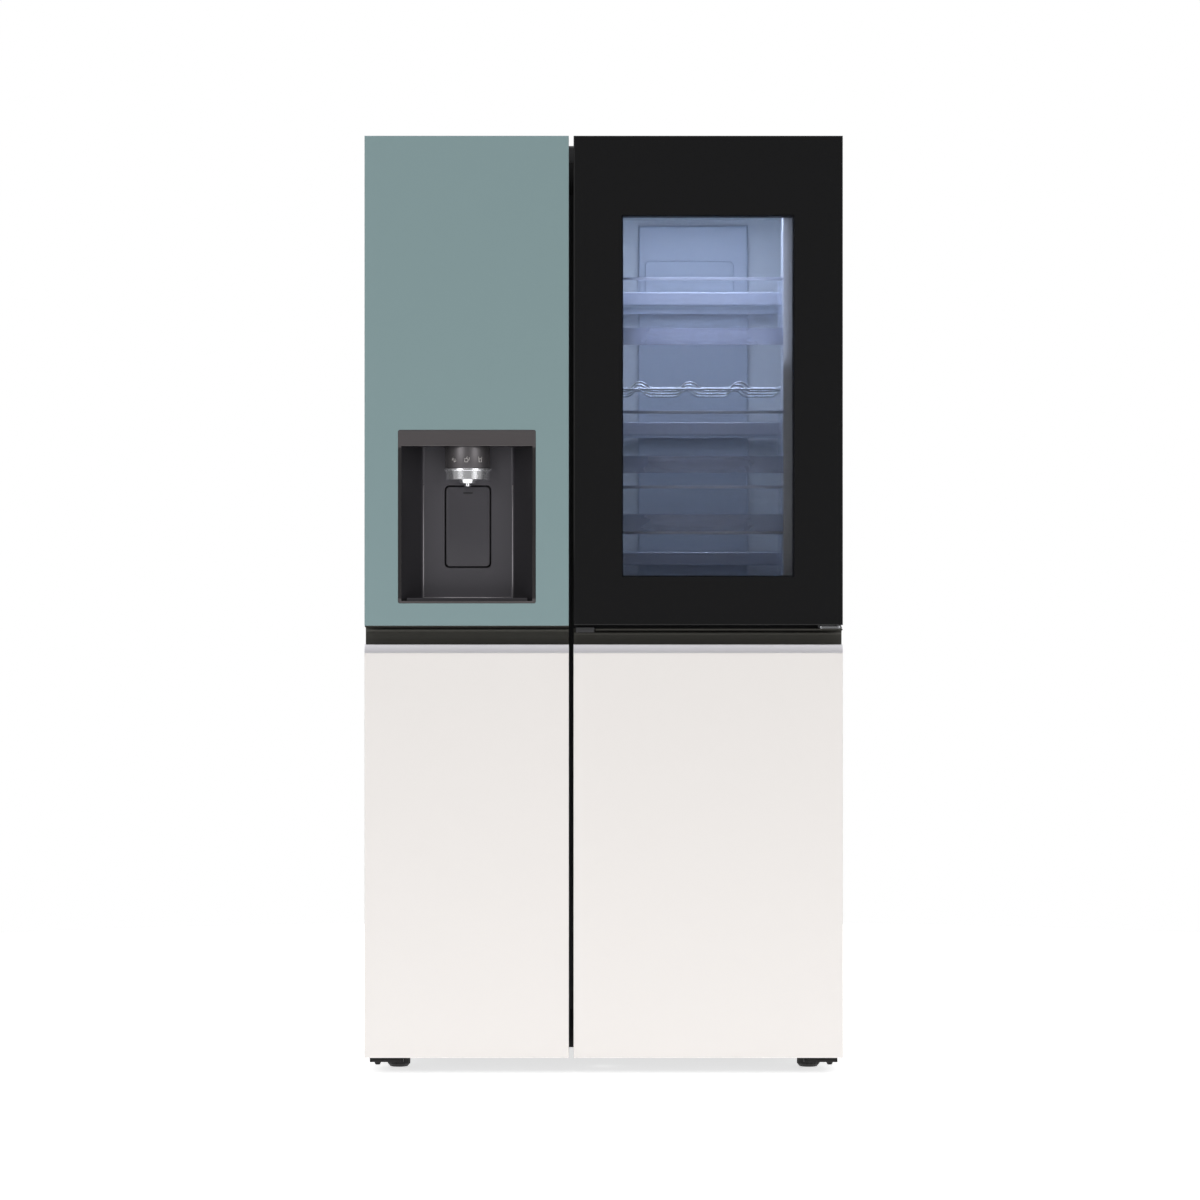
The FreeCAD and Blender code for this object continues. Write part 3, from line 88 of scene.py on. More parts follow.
def surface(
    name,
    colour,
    roughness,
    metallic=0.0,
    grain=60.0,
    stretch=(1, 1, 1),
    tint=0.03,
    spread=0.04,
    bump=0.02,
    coat=0.0,
):
    """A principled material whose colour, roughness and relief vary with a fine grain."""
    material = bpy.data.materials.new(name)
    material.use_nodes = True
    tree = material.node_tree
    shader = tree.nodes["Principled BSDF"]
    place = tree.nodes.new("ShaderNodeTexCoord")
    mapping = tree.nodes.new("ShaderNodeMapping")
    mapping.inputs["Scale"].default_value = tuple(grain * part for part in stretch)
    tree.links.new(place.outputs["Object"], mapping.inputs["Vector"])
    noise = tree.nodes.new("ShaderNodeTexNoise")
    noise.inputs["Scale"].default_value = 1.0
    noise.inputs["Detail"].default_value = 4.0
    tree.links.new(mapping.outputs["Vector"], noise.inputs["Vector"])
    ramp = tree.nodes.new("ShaderNodeValToRGB")
    ramp.color_ramp.elements[0].position = 0.3
    ramp.color_ramp.elements[1].position = 0.7
    ramp.color_ramp.elements[0].color = shade(colour, 1 - tint)
    ramp.color_ramp.elements[1].color = shade(colour, 1 + tint)
    tree.links.new(noise.outputs["Fac"], ramp.inputs["Fac"])
    tree.links.new(ramp.outputs["Color"], shader.inputs["Base Color"])
    rough = tree.nodes.new("ShaderNodeMapRange")
    rough.inputs["To Min"].default_value = max(0.02, roughness - spread)
    rough.inputs["To Max"].default_value = min(1.0, roughness + spread)
    tree.links.new(noise.outputs["Fac"], rough.inputs["Value"])
    tree.links.new(rough.outputs["Result"], shader.inputs["Roughness"])
    if bump:
        relief = tree.nodes.new("ShaderNodeBump")
        relief.inputs["Strength"].default_value = bump
        relief.inputs["Distance"].default_value = 0.0006
        tree.links.new(noise.outputs["Fac"], relief.inputs["Height"])
        tree.links.new(relief.outputs["Normal"], shader.inputs["Normal"])
    shader.inputs["Metallic"].default_value = metallic
    shader.inputs["Coat Weight"].default_value = coat
    shader.inputs["Coat Roughness"].default_value = 0.05
    return material


def specular(material, level):
    material.node_tree.nodes["Principled BSDF"].inputs["Specular IOR Level"].default_value = level
    return material


def graded(material, axis, stops):
    """Multiplies a material's colour by grey factors that change along one of the object's own axes."""
    tree = material.node_tree
    shader = tree.nodes["Principled BSDF"]
    plain = shader.inputs["Base Color"].links[0].from_socket
    place = next(node for node in tree.nodes if node.bl_idname == "ShaderNodeTexCoord")
    split = tree.nodes.new("ShaderNodeSeparateXYZ")
    tree.links.new(place.outputs["Object"], split.inputs["Vector"])
    along = tree.nodes.new("ShaderNodeMapRange")
    along.inputs["From Min"].default_value = stops[0][0]
    along.inputs["From Max"].default_value = stops[-1][0]
    tree.links.new(split.outputs[axis], along.inputs["Value"])
    ramp = tree.nodes.new("ShaderNodeValToRGB")
    points = ramp.color_ramp.elements
    while len(points) < len(stops):
        points.new(0.5)
    for point, (place_at, factor) in zip(points, stops):
        point.position = (place_at - stops[0][0]) / (stops[-1][0] - stops[0][0])
        point.color = (factor, factor, factor, 1.0)
    tree.links.new(along.outputs["Result"], ramp.inputs["Fac"])
    mix = tree.nodes.new("ShaderNodeMix")
    mix.data_type = "RGBA"
    mix.blend_type = "MULTIPLY"
    mix.inputs["Factor"].default_value = 1.0
    tree.links.new(plain, mix.inputs["A"])
    tree.links.new(ramp.outputs["Color"], mix.inputs["B"])
    tree.links.new(mix.outputs["Result"], shader.inputs["Base Color"])
    return material


def see_through(name, colour, roughness, face_on, edge_on, power=2.0):
    """A clear sheet: nearly open where it is faced, denser where it is seen edge on."""
    material = surface(name, colour, roughness, tint=0.02, spread=0.02, bump=0.0)
    tree = material.node_tree
    shader = tree.nodes["Principled BSDF"]
    weight = tree.nodes.new("ShaderNodeLayerWeight")
    weight.inputs["Blend"].default_value = 0.5
    curve = tree.nodes.new("ShaderNodeMath")
    curve.operation = "POWER"
    curve.inputs[1].default_value = power
    tree.links.new(weight.outputs["Facing"], curve.inputs[0])
    spread = tree.nodes.new("ShaderNodeMapRange")
    spread.inputs["To Min"].default_value = face_on
    spread.inputs["To Max"].default_value = edge_on
    tree.links.new(curve.outputs["Value"], spread.inputs["Value"])
    tree.links.new(spread.outputs["Result"], shader.inputs["Alpha"])
    return material


def glowing(name, colour, strength):
    material = surface(name, colour, 0.4, bump=0.0)
    shader = material.node_tree.nodes["Principled BSDF"]
    shader.inputs["Emission Color"].default_value = colour
    shader.inputs["Emission Strength"].default_value = strength
    return material


BRUSHED_ALONG_X = (0.02, 1, 1)
MATERIALS = {
    "case_steel": surface("case_steel", srgb(112, 114, 116), 0.36, 0.35, grain=900, tint=0.03, bump=0.12),
    "rear_steel": surface("rear_steel", srgb(150, 152, 153), 0.42, 0.6, grain=700, tint=0.05, bump=0.1),
    "foam": surface("foam", srgb(226, 206, 150), 0.9, grain=120, tint=0.12, bump=0.6),
    "liner_white": surface("liner_white", srgb(226, 229, 233), 0.3, grain=500, tint=0.01, bump=0.05),
    "dark_frame": surface("dark_frame", srgb(34, 34, 35), 0.5, 0.2, grain=800, tint=0.08, bump=0.1),
    "cover_plastic": surface("cover_plastic", srgb(40, 40, 42), 0.55, grain=1600, tint=0.08, bump=0.35),
    "hinge_steel": surface("hinge_steel", srgb(176, 177, 180), 0.28, 1.0, grain=500, stretch=BRUSHED_ALONG_X),
    "hinge_black": surface("hinge_black", srgb(30, 29, 29), 0.35, 0.5, grain=700, tint=0.1, bump=0.15),
    "grey_plastic": surface("grey_plastic", srgb(152, 152, 150), 0.5, grain=1200, bump=0.2),
    "compressor_black": surface(
        "compressor_black", srgb(28, 28, 30), 0.4, 0.3, grain=300, tint=0.15, bump=0.15
    ),
    "coil_steel": surface("coil_steel", srgb(48, 48, 50), 0.45, 0.4, grain=400, tint=0.1, bump=0.1),
    "coil_aluminium": surface(
        "coil_aluminium", srgb(196, 198, 200), 0.35, 1.0, grain=300, tint=0.06, bump=0.1
    ),
    "fan_plastic": surface("fan_plastic", srgb(62, 62, 64), 0.45, grain=1000, bump=0.15),
    "foot_plastic": surface("foot_plastic", srgb(26, 25, 25), 0.5, grain=900, tint=0.1, bump=0.25),
    "roller_plastic": surface("roller_plastic", srgb(70, 70, 70), 0.5, grain=900, bump=0.2),
    "clear_glass": see_through("clear_glass", srgb(190, 214, 214), 0.04, 0.10, 0.75, 2.5),
    "shelf_trim": surface(
        "shelf_trim", srgb(196, 202, 216), 0.22, 0.15, grain=400, tint=0.02, bump=0.0, coat=0.4
    ),
    "rack_chrome": surface("rack_chrome", srgb(206, 208, 212), 0.14, 1.0, grain=300, tint=0.02, bump=0.0),
    "duct_grey": surface("duct_grey", srgb(196, 202, 214), 0.32, 0.1, grain=500, tint=0.015, bump=0.04),
    "light_lens": glowing("light_lens", srgb(214, 230, 255), 2.2),
    "drawer_clear": see_through("drawer_clear", srgb(206, 216, 230), 0.1, 0.16, 0.8, 2.0),
    "door_foam": surface("door_foam", srgb(44, 44, 46), 0.42, 0.3, grain=900, tint=0.06, bump=0.1),
    "teal_glass": surface("teal_glass", srgb(129, 151, 153), 0.34, grain=1500, tint=0.012, bump=0.02),
    "beige_glass": surface("beige_glass", srgb(231, 227, 224), 0.36, grain=1500, tint=0.006, bump=0.02),
    "black_glass": surface(
        "black_glass", srgb(17, 17, 18), 0.06, grain=900, tint=0.02, spread=0.01, bump=0.0
    ),
    "groove_dark": surface(
        "groove_dark", srgb(75, 74, 70), 0.4, 0.9, grain=2400, stretch=BRUSHED_ALONG_X, tint=0.1, bump=0.12
    ),
    "trim_silver": surface(
        "trim_silver", srgb(246, 244, 249), 0.3, 0.35, grain=2400, stretch=BRUSHED_ALONG_X, bump=0.06
    ),
    "gasket_grey": surface("gasket_grey", srgb(92, 93, 96), 0.65, grain=1200, tint=0.05, bump=0.3),
    "dispenser_dark": surface(
        "dispenser_dark", srgb(73, 71, 76), 0.38, 0.25, grain=1400, tint=0.04, bump=0.08
    ),
    "fascia_grey": surface(
        "fascia_grey", srgb(92, 88, 89), 0.32, 0.45, grain=1800, stretch=BRUSHED_ALONG_X, tint=0.04, bump=0.05
    ),
    "head_grey": surface("head_grey", srgb(104, 101, 103), 0.38, 0.7, grain=1200, tint=0.03, bump=0.03),
    "ring_chrome": surface("ring_chrome", srgb(240, 240, 243), 0.22, 0.9, grain=900, tint=0.01, bump=0.0),
    "tray_grey": surface("tray_grey", srgb(60, 58, 62), 0.35, 0.3, grain=1200, tint=0.04, bump=0.06),
}
specular(MATERIALS["black_glass"], 0.35)
specular(MATERIALS["beige_glass"], 0.3)
specular(MATERIALS["teal_glass"], 0.35)
PANE_FRONT = see_through("window_pane", srgb(26, 30, 40), 0.03, 0.14, 0.9, 3.0)
ICON_LIGHT = surface("icon_light", srgb(196, 192, 190), 0.5, grain=800, bump=0.0)
# Near black: painted shade standing for the hollow of the paddle's slot.
SLOT_SHADE = surface("slot_painted_shade", srgb(20, 19, 21), 0.6, grain=800, bump=0.1)
BIN_CLEAR = see_through("bin_clear", srgb(206, 216, 236), 0.08, 0.05, 0.7, 2.5)
BIN_FROST = see_through("bin_frost", srgb(196, 202, 226), 0.25, 0.35, 0.8)
BIN_RAIL = see_through("bin_rail", srgb(224, 230, 246), 0.12, 0.7, 0.95)
SPACER_DARK = specular(surface("spacer_dark", srgb(16, 16, 18), 0.6, grain=900, bump=0.05), 0.15)
PADDLE_DARK = surface("paddle_dark", srgb(66, 64, 69), 0.42, 0.2, grain=1400, tint=0.03, bump=0.06)
# Light grey for beads that paint the highlight along the niche's folds.
HIGHLIGHT_BEAD = surface("painted_edge_highlight", srgb(176, 172, 176), 0.35, 0.4, grain=1400, bump=0.02)
SCREW_STEEL = surface("screw_steel", srgb(150, 150, 152), 0.3, 1.0, grain=600, bump=0.05)
OWN_LOOKS = {
    "window_glazing": PANE_FRONT,
    "glazing_spacer": SPACER_DARK,
    "fridge_door_bins": BIN_CLEAR,
    "dispenser_paddle": PADDLE_DARK,
    # The niche's own dark grey, with painted shade on its side walls added further down.
    "dispenser_niche": surface("niche_dark_painted_shade", srgb(73, 71, 76), 0.42, 0.2, grain=1400, tint=0.03, bump=0.06),
}


def paint_shade_into_colours():
    """Painted shade and painted highlight: colours that darken along a part, as the soft light of a room leaves
    them, on the niche's walls, the handle trims, the fascia and the case's front flange.
    """
    plain = 1.0
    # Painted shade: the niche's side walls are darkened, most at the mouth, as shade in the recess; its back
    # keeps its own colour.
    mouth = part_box("dispenser_niche")[0].y
    side_walls_end = NICHE_BACK_Y - 6 * MM
    back_starts = NICHE_BACK_Y - 1 * MM
    beyond = NICHE_BACK_Y + 30 * MM
    stops = ((mouth, 0.3), (side_walls_end, 0.42), (back_starts, plain), (beyond, plain))
    graded(OWN_LOOKS["dispenser_niche"], "Y", stops)

    # Painted highlight and shade: the trims are lightest at their top edge, where the top softbox reflects, and
    # darker towards their foot.
    low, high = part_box("freezer_handle_trim")
    graded(MATERIALS["trim_silver"], "Z", ((low.z, 0.4), (high.z, plain)))

    # Painted shade: the fascia's strips beside the niche are darkened to a third, as the recess's shade; its
    # foot and brow keep their own colour.
    low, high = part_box("dispenser_fascia")
    foot = low.z + 7 * MM
    brow = high.z - 32 * MM
    soft = 3 * MM
    painted_shade_beside_niche = 0.3
    stops = (
        (low.z, plain),
        (foot, plain),
        (foot + soft, painted_shade_beside_niche),
        (brow - soft, painted_shade_beside_niche),
        (brow, plain),
        (high.z, plain),
    )
    graded(MATERIALS["fascia_grey"], "Z", stops)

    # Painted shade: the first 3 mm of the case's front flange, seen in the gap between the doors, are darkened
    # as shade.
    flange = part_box("case_shell")[0].y
    in_shade = 0.25
    depths = ((0, in_shade), (3, in_shade), (4, plain), (100, plain))
    graded(MATERIALS["case_steel"], "Y", [(flange + depth * MM, factor) for depth, factor in depths])


def dress_cad_nodes():
    """Every CAD node gets its slot's material or, where it has one, its own look, and the listed nodes' hard
    edges get a small bevel.
    """
    bevels = {
        "case_shell": 1.5,
        "base_frame": 0.6,
        "door_hinges": 0.7,
        "rear_machine_cover": 0.5,
        "fridge_shelf_trims": 1.0,
        "fridge_shelf_glass": 0.6,
        "freezer_door_body": 2.0,
        "fridge_door_body": 2.0,
        "freezer_door_liner": 2.5,
        "fridge_door_liner": 2.5,
        "outer_door_frame": 1.2,
        "fridge_liner": 1.0,
        "freezer_liner": 1.0,
        "crisper_drawer_upper": 0.8,
        "crisper_drawer_lower": 0.8,
        "freezer_drawer_upper": 0.8,
        "freezer_drawer_lower": 0.8,
        "freezer_shelves": 0.8,
        "fridge_door_bins": 0.8,
        "freezer_door_bins": 0.8,
        "ice_maker_box": 1.5,
        "dispenser_niche": 1.4,
        "dispenser_fascia": 0.5,
        "dispenser_head": 0.8,
        "dispenser_paddle": 1.0,
        "drip_tray": 0.5,
        "outer_door_hinges": 0.5,
        "glazing_spacer": 0.5,
        "fridge_door_gasket": 1.2,
        "freezer_door_gasket": 1.2,
        "outer_door_gasket": 1.2,
        "freezer_handle_trim": 0.6,
        "fridge_handle_trim": 0.6,
        "fridge_air_duct": 0.8,
        "freezer_air_cover": 0.8,
        "water_line_block": 0.6,
        "window_glazing": 0.3,
        "back_panel": 0.8,
    }
    slots = {part["node"]: part["material_slot"] for part in frame["record"]["subparts"]}
    for name, thing in frame["nodes"].items():
        chosen = MATERIALS[slots[name]]
        chosen = OWN_LOOKS.get(name, chosen)
        if not thing.data.materials:
            thing.data.materials.append(chosen)
        for n in range(len(thing.data.materials)):
            thing.data.materials[n] = chosen
        if name in bevels:
            weld = thing.modifiers.new("weld", "WELD")
            weld.merge_threshold = SAME_PLACE
            bevel = thing.modifiers.new("bevel", "BEVEL")
            bevel.width = bevels[name] * MM
            bevel.segments = 2
            bevel.limit_method = "ANGLE"
            bevel.angle_limit = math.radians(50)
            bevel.harden_normals = False


# ---------------------------------------------------------------- small mesh builders


def new_piece(name, mesh_maker, material, body, smooth=True):
    """A piece from a bmesh that a function fills, riding on a CAD body."""
    mesh = bpy.data.meshes.new(name)
    made = bmesh.new()
    mesh_maker(made)
    bmesh.ops.recalc_face_normals(made, faces=made.faces)
    made.to_mesh(mesh)
    made.free()
    for face in mesh.polygons:
        face.use_smooth = smooth
    thing = bpy.data.objects.new(name, mesh)
    bpy.context.scene.collection.objects.link(thing)
    mesh.materials.append(material)
    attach(thing, body)
    return thing


def lathe(profile, place, steps):
    """Fills a bmesh with a profile of (radius, height) points turned about an axis along +Y."""
    turn = Matrix.Rotation(math.radians(-90), 4, "X")

    def fill(made):
        rings = []
        for radius, height in profile:
            ring = []
            for n in range(steps):
                angle = 2 * math.pi * n / steps
                point = Vector((radius * math.cos(angle), radius * math.sin(angle), height))
                ring.append(made.verts.new(Vector(place) + turn @ point))
            rings.append(ring)
        for low, high in zip(rings, rings[1:]):
            for n in range(steps):
                made.faces.new((low[n], low[(n + 1) % steps], high[(n + 1) % steps], high[n]))
        made.faces.new(rings[0])
        made.faces.new(rings[-1])

    return fill


def tube(points, radius, sides=8):
    """Fills a bmesh with a round tube along a list of points."""

    def fill(made):
        step = 2 * math.pi / sides
        rings = []
        for n, point in enumerate(points):
            before = points[max(0, n - 1)]
            after = points[min(len(points) - 1, n + 1)]
            along = (after - before).normalized()
            side = along.orthogonal().normalized()
            up = along.cross(side)
            rings.append(
                [
                    made.verts.new(point + radius * (math.cos(step * k) * side + math.sin(step * k) * up))
                    for k in range(sides)
                ]
            )
        for low, high in zip(rings, rings[1:]):
            for k in range(sides):
                made.faces.new((low[k], low[(k + 1) % sides], high[(k + 1) % sides], high[k]))
        made.faces.new(rings[0])
        made.faces.new(rings[-1])

    return fill


def capsule(middle, half_length, radius, depth):
    """Fills a bmesh with a flat slot shape facing -Y, rounded at both ends and domed a little."""
    steps = 24

    def fill(made):
        outline = []
        for n in range(steps):
            angle = 2 * math.pi * n / steps
            shift = half_length if math.cos(angle) > 0 else -half_length
            outline.append((shift + radius * math.cos(angle), radius * math.sin(angle)))
        layers = []
        for scale, y in ((1.0, depth), (1.0, 0.0), (0.9, -0.15 * depth)):
            layers.append([made.verts.new(middle + Vector((x * scale, y, z * scale))) for x, z in outline])
        for low, high in zip(layers, layers[1:]):
            for n in range(steps):
                made.faces.new((low[n], low[(n + 1) % steps], high[(n + 1) % steps], high[n]))
        made.faces.new(layers[0])
        made.faces.new(layers[-1])

    return fill


# ---------------------------------------------------------------- dispenser details


def touch_marks():
    """Three generic marks on the dispenser's head: broken ice, ice cubes and a glass."""
    low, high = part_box("dispenser_head")
    radius = (high.x - low.x) / 2
    axis_x = (low.x + high.x) / 2
    axis_y = low.y + radius
    middle_z = low.z + 0.4 * (high.z - low.z)
    half_size = 5 * MM
    stroke = 0.7 * MM
    turned_by = 0.62
    reach = radius + 0.15 * MM

    def on_head(across, up, turn):
        angle = turn + across / radius
        return Vector((axis_x + reach * math.sin(angle), axis_y - reach * math.cos(angle), middle_z + up))

    glass = [(-0.7, 1), (-0.5, -1), (0.5, -1), (0.7, 1)]
    cubes = [(-0.9, -1), (-0.9, 0.2), (0.3, 0.2), (0.3, -1), (-0.9, -1)]
    cube_behind = [(-0.2, 0.2), (0.1, 1), (1, 0.6), (0.7, -0.4), (0.3, -0.2)]
    shards = [(-0.9, -0.2), (-0.2, 1), (0.1, -0.3), (-0.9, -0.2)]
    shards_two = [(0.0, -1), (0.9, -0.7), (0.7, 0.3), (0.0, -1)]
    strokes = (
        ("ice_broken_mark", -turned_by, (shards, shards_two)),
        ("ice_cubes_mark", 0.0, (cubes, cube_behind)),
        ("water_mark", turned_by, (glass, [(-0.6, 0.2), (0.6, 0.2)])),
    )
    for name, turn, lines in strokes:
        for n, line in enumerate(lines):
            points = [on_head(x * half_size, z * half_size, turn) for x, z in line]
            new_piece(f"{name}_{n}", tube(points, stroke, 6), ICON_LIGHT, "freezer_door")


def paddle_slot():
    """A small slot near the top of the push paddle, drawn as a near-black capsule on its face: painted shade
    for the slot's hollow.
    """
    low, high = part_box("dispenser_paddle")
    middle = Vector(((low.x + high.x) / 2, low.y + 0.3 * MM, high.z - 11 * MM))
    slot = capsule(middle, half_length=8 * MM, radius=1.2 * MM, depth=1 * MM)
    new_piece("paddle_slot", slot, SLOT_SHADE, "dispenser_paddle")


def niche_highlight_beads():
    """Slim light-grey beads where the niche's back meets its side walls and its floor: a painted highlight
    along these folds.
    """
    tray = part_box("drip_tray")
    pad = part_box("dispenser_paddle")
    left = pad[0].x - 44.2 * MM
    right = pad[1].x + 44.6 * MM
    front = NICHE_BACK_Y - 0.4 * MM
    foot = tray[1].z + 0.6 * MM
    bend = foot + 30 * MM
    top = pad[1].z + 4 * MM
    for side, x, flare in (("left", left, -1.2 * MM), ("right", right, 1.2 * MM)):
        points = [Vector((x, front, top)), Vector((x, front, bend)), Vector((x + flare, front, foot))]
        new_piece(f"niche_edge_{side}", tube(points, 1.1 * MM), HIGHLIGHT_BEAD, "freezer_door")
    points = [Vector((left, front, foot)), Vector((right, front, foot))]
    new_piece("niche_edge_foot", tube(points, 0.9 * MM), HIGHLIGHT_BEAD, "freezer_door")


# ---------------------------------------------------------------- behind the window


def rounded_bar(low, high, radius, steps=4):
    """Fills a bmesh with a bar along X whose front edges are rounded."""

    def fill(made):
        section = [(high.y, low.z)]
        for z, start in ((low.z + radius, 270), (high.z - radius, 180)):
            for n in range(steps + 1):
                angle = math.radians(start - 90 * n / steps)
                section.append((low.y + radius * (1 + math.cos(angle)), z + radius * math.sin(angle)))
        section.append((high.y, high.z))
        ends = [[made.verts.new((x, y, z)) for y, z in section] for x in (low.x, high.x)]
        count = len(section)
        for n in range(count):
            made.faces.new((ends[0][n], ends[0][(n + 1) % count], ends[1][(n + 1) % count], ends[1][n]))
        made.faces.new(ends[0])
        made.faces.new(ends[1])

    return fill


def bin_heights():
    """The foot and rim of each bin, from the separate bodies in the bins' node."""
    mesh = frame["nodes"]["fridge_door_bins"].data
    made = bmesh.new()
    made.from_mesh(mesh)
    bmesh.ops.remove_doubles(made, verts=made.verts, dist=SAME_PLACE)
    waiting = set(made.verts)
    heights = []
    while waiting:
        edge = [waiting.pop()]
        reached = list(edge)
        while edge:
            for link in edge.pop().link_edges:
                for vert in link.verts:
                    if vert in waiting:
                        waiting.remove(vert)
                        edge.append(vert)
                        reached.append(vert)
        heights.append((min(vert.co.z for vert in reached), max(vert.co.z for vert in reached)))
    made.free()
    return sorted(heights, reverse=True)


def bin_bands():
    """The frosted band along the foot of each bin, and the bright rail along its rim."""
    low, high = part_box("fridge_door_bins")
    left = low.x + 12 * MM
    right = high.x - 27 * MM
    front = low.y - 2.2 * MM
    back = low.y + 0.5 * MM
    edge = 1.5 * MM
    for n, (foot, rim) in enumerate(bin_heights()):
        band = rounded_bar(Vector((left, front, foot - 12 * MM)), Vector((right, back, foot + 21 * MM)), edge)
        new_piece(f"bin_band_{n}", band, BIN_FROST, "fridge_door")
        rail = rounded_bar(Vector((left, front, rim - 6 * MM)), Vector((right, back, rim)), edge)
        new_piece(f"bin_rail_{n}", rail, BIN_RAIL, "fridge_door")


# ---------------------------------------------------------------- fixings


def screw(name, place, body):
    """A pan-head screw with a shallow dished drive, facing the rear."""
    radius = 4.2 * MM
    profile = [
        (radius, 0.0),
        (radius, 0.8 * MM),
        (radius * 0.85, 1.9 * MM),
        (radius * 0.5, 2.4 * MM),
        (radius * 0.34, 2.3 * MM),
        (radius * 0.3, 1.2 * MM),
        (0.05 * MM, 1.0 * MM),
    ]
    new_piece(name, lathe(profile, place, steps=20), SCREW_STEEL, body)


def rear_screws():
    """Two rows of screws along the rear machine cover's edges."""
    low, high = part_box("rear_machine_cover")
    sheet_share = 26 / 28.5
    face = low.y + (high.y - low.y) * sheet_share
    inset = 20 * MM
    count = 0
    for x in (low.x + inset, -200 * MM, 200 * MM, high.x - inset):
        for z in (low.z + 12 * MM, high.z - 8 * MM):
            screw(f"cover_screw_{count}", (x, face, z), "cabinet")
            count += 1


def centre_cap():
    """The dark end of the centre strip, over the liners' edges above the two rooms; it also darkens where the
    gap between the doors lies in shade, so it is partly painted shade.
    """
    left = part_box("freezer_upper_panel")[1].x - 1 * MM
    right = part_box("outer_door_glass")[0].x + 1 * MM
    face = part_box("case_shell")[0].y
    low = Vector((left, face - 0.6 * MM, CENTRE_STRIP_TOP))
    high = Vector((right, face + 0.1 * MM, TOP_COVER_FOOT))
    cap = rounded_bar(low, high, 0.3 * MM)
    new_piece("centre_cap", cap, MATERIALS["dark_frame"], "cabinet")


def hinge_lips():
    """The folded front lips of the two foot plates, between each foot and its hinge pin."""
    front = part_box("door_hinges")[0].y + 4 * MM
    back = front + 14 * MM
    foot = 16.5 * MM
    top = 23.8 * MM
    near = 385 * MM
    far = 449 * MM
    for side, left, right in (("left", -far, -near), ("right", near, far)):
        lip = rounded_bar(Vector((left, front, foot)), Vector((right, back, top)), 1.2 * MM)
        new_piece(f"hinge_lip_{side}", lip, MATERIALS["hinge_black"], "cabinet")


# ---------------------------------------------------------------- light, floor and camera


def area_light(name, place, target, size, power, colour=(1, 1, 1)):
    data = bpy.data.lights.new(name, "AREA")
    data.shape = "RECTANGLE"
    data.size, data.size_y = size
    data.energy = power
    data.color = colour
    thing = bpy.data.objects.new(name, data)
    bpy.context.scene.collection.objects.link(thing)
    thing.location = place
    thing.rotation_euler = (Vector(target) - Vector(place)).to_track_quat("-Z", "Y").to_euler()
    return thing


def studio():
    """Two large front softboxes, a top one and two rear fills."""
    middle = (0, 0, HEIGHT / 2)
    area_light("key_left", (-3.4, -4.6, 2.6), middle, (2.6, 3.2), 75)
    area_light("key_right", (3.4, -4.6, 2.4), middle, (2.6, 3.2), 67)
    area_light("top", (0, -0.6, 4.6), (0, 0, 0), (4.5, 3.5), 84)
    area_light("rear_left", (-3.2, 4.0, 2.6), middle, (2.4, 2.8), 72)
    area_light("rear_right", (3.2, 4.0, 2.6), middle, (2.4, 2.8), 72)


def interior_lamps():
    """The fridge's own cool light: lamps above the shelves, over the door bins and along the window."""
    cool = (0.66, 0.75, 1.0)
    under_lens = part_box("interior_light_lenses")[0].z - 4 * MM
    low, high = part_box("fridge_shelf_glass")
    x = (low.x + high.x) / 2
    y = (low.y + high.y) / 2
    forward = 120 * MM
    for n, (height, power) in enumerate(((under_lens, 2.0), (1.48, 0.15), (1.225, 0.03))):
        place = (x, y - forward, height)
        area_light(f"fridge_lamp_{n}", place, (x, y, 0), (0.34, 0.12), power, cool)

    low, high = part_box("window_glazing")
    x = (low.x + high.x) / 2
    back = high.y
    place = (x, back + 45 * MM, high.z - 4 * MM)
    area_light("door_lamp", place, (x, back + 75 * MM, 0), (0.28, 0.03), 0.7, cool)
    for n, (height, power) in enumerate(((1.5, 0.45), (1.2, 0.03))):
        place = (x, back + 2 * MM, height)
        area_light(f"pane_lamp_{n}", place, (x, 1, height), (0.3, 0.28), power, cool)


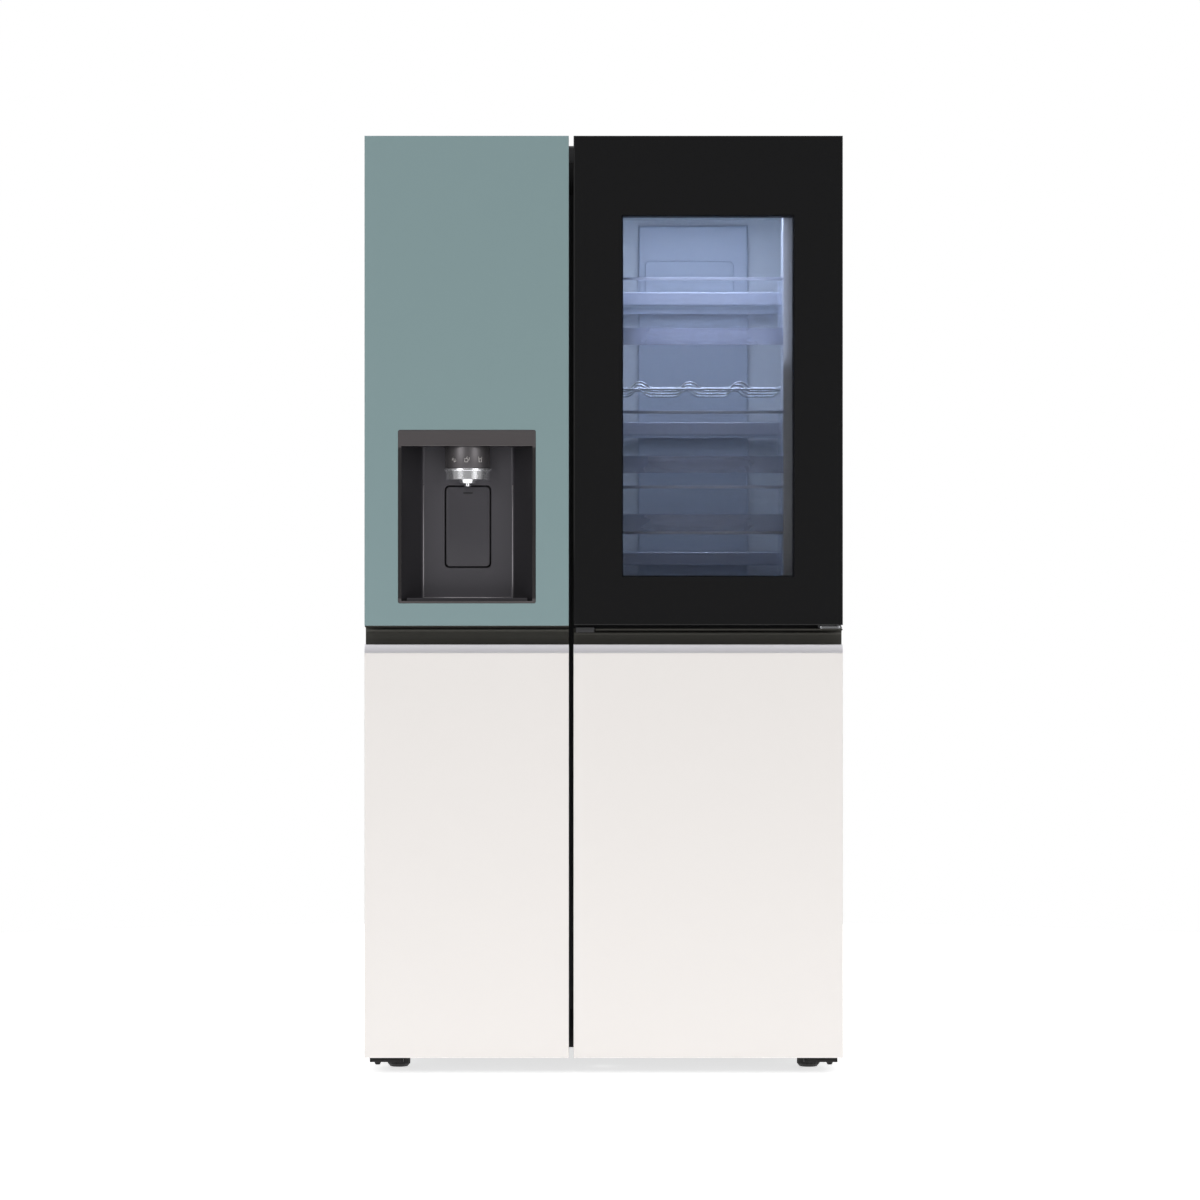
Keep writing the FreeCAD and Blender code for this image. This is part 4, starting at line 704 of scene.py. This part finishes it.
def white_world():
    """White to the camera; a dimmer grey as light, so that dark glass stays dark."""
    world = bpy.data.worlds.new("studio")
    bpy.context.scene.world = world
    world.use_nodes = True
    tree = world.node_tree
    seen = tree.nodes["Background"]
    seen.inputs["Color"].default_value = (1, 1, 1, 1)
    seen.inputs["Strength"].default_value = 1.0
    fill = tree.nodes.new("ShaderNodeBackground")
    fill.inputs["Color"].default_value = (1, 1, 1, 1)
    fill.inputs["Strength"].default_value = 0.25
    path = tree.nodes.new("ShaderNodeLightPath")
    mix = tree.nodes.new("ShaderNodeMixShader")
    tree.links.new(path.outputs["Is Camera Ray"], mix.inputs["Fac"])
    tree.links.new(fill.outputs["Background"], mix.inputs[1])
    tree.links.new(seen.outputs["Background"], mix.inputs[2])
    tree.links.new(mix.outputs["Shader"], tree.nodes["World Output"].inputs["Surface"])


def floor():
    mesh = bpy.data.meshes.new("floor")
    reach = 3.4
    steps = 64
    turns = [2 * math.pi * n / steps for n in range(steps)]
    corners = [(reach * math.cos(turn), reach * math.sin(turn), 0) for turn in turns]
    mesh.from_pydata(corners, [], [tuple(range(steps))])
    thing = bpy.data.objects.new("floor", mesh)
    bpy.context.scene.collection.objects.link(thing)
    pale = surface("pale_floor", (0.9, 0.9, 0.9, 1), 0.8, grain=20, tint=0.004, bump=0.0)
    shader = pale.node_tree.nodes["Principled BSDF"]
    shader.inputs["Emission Color"].default_value = (1, 1, 1, 1)
    shader.inputs["Emission Strength"].default_value = 0.7
    shader.inputs["Specular IOR Level"].default_value = 0.1
    mesh.materials.append(pale)
    thing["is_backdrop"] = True


def camera():
    """A long lens level with the middle of the object, square to its front."""
    distance = 8.0
    view_height = 1.2793 * HEIGHT
    data = bpy.data.cameras.new("camera")
    data.sensor_width = 36.0
    data.lens = data.sensor_width * distance / view_height
    data.clip_end = 200.0
    thing = bpy.data.objects.new("camera", data)
    bpy.context.scene.collection.objects.link(thing)
    thing.location = (-0.007, LOW.y - distance, 0.505 * HEIGHT)
    thing.rotation_euler = (math.radians(90), 0, 0)
    bpy.context.scene.camera = thing


def look():
    settings = bpy.context.scene.view_settings
    settings.view_transform = "Standard"
    settings.look = "None"
    bpy.context.scene.cycles.transparent_max_bounces = 32


camera()
white_world()
floor()
studio()
interior_lamps()
look()
paint_shade_into_colours()
dress_cad_nodes()
touch_marks()
paddle_slot()
niche_highlight_beads()
bin_bands()
rear_screws()
centre_cap()
hinge_lips()
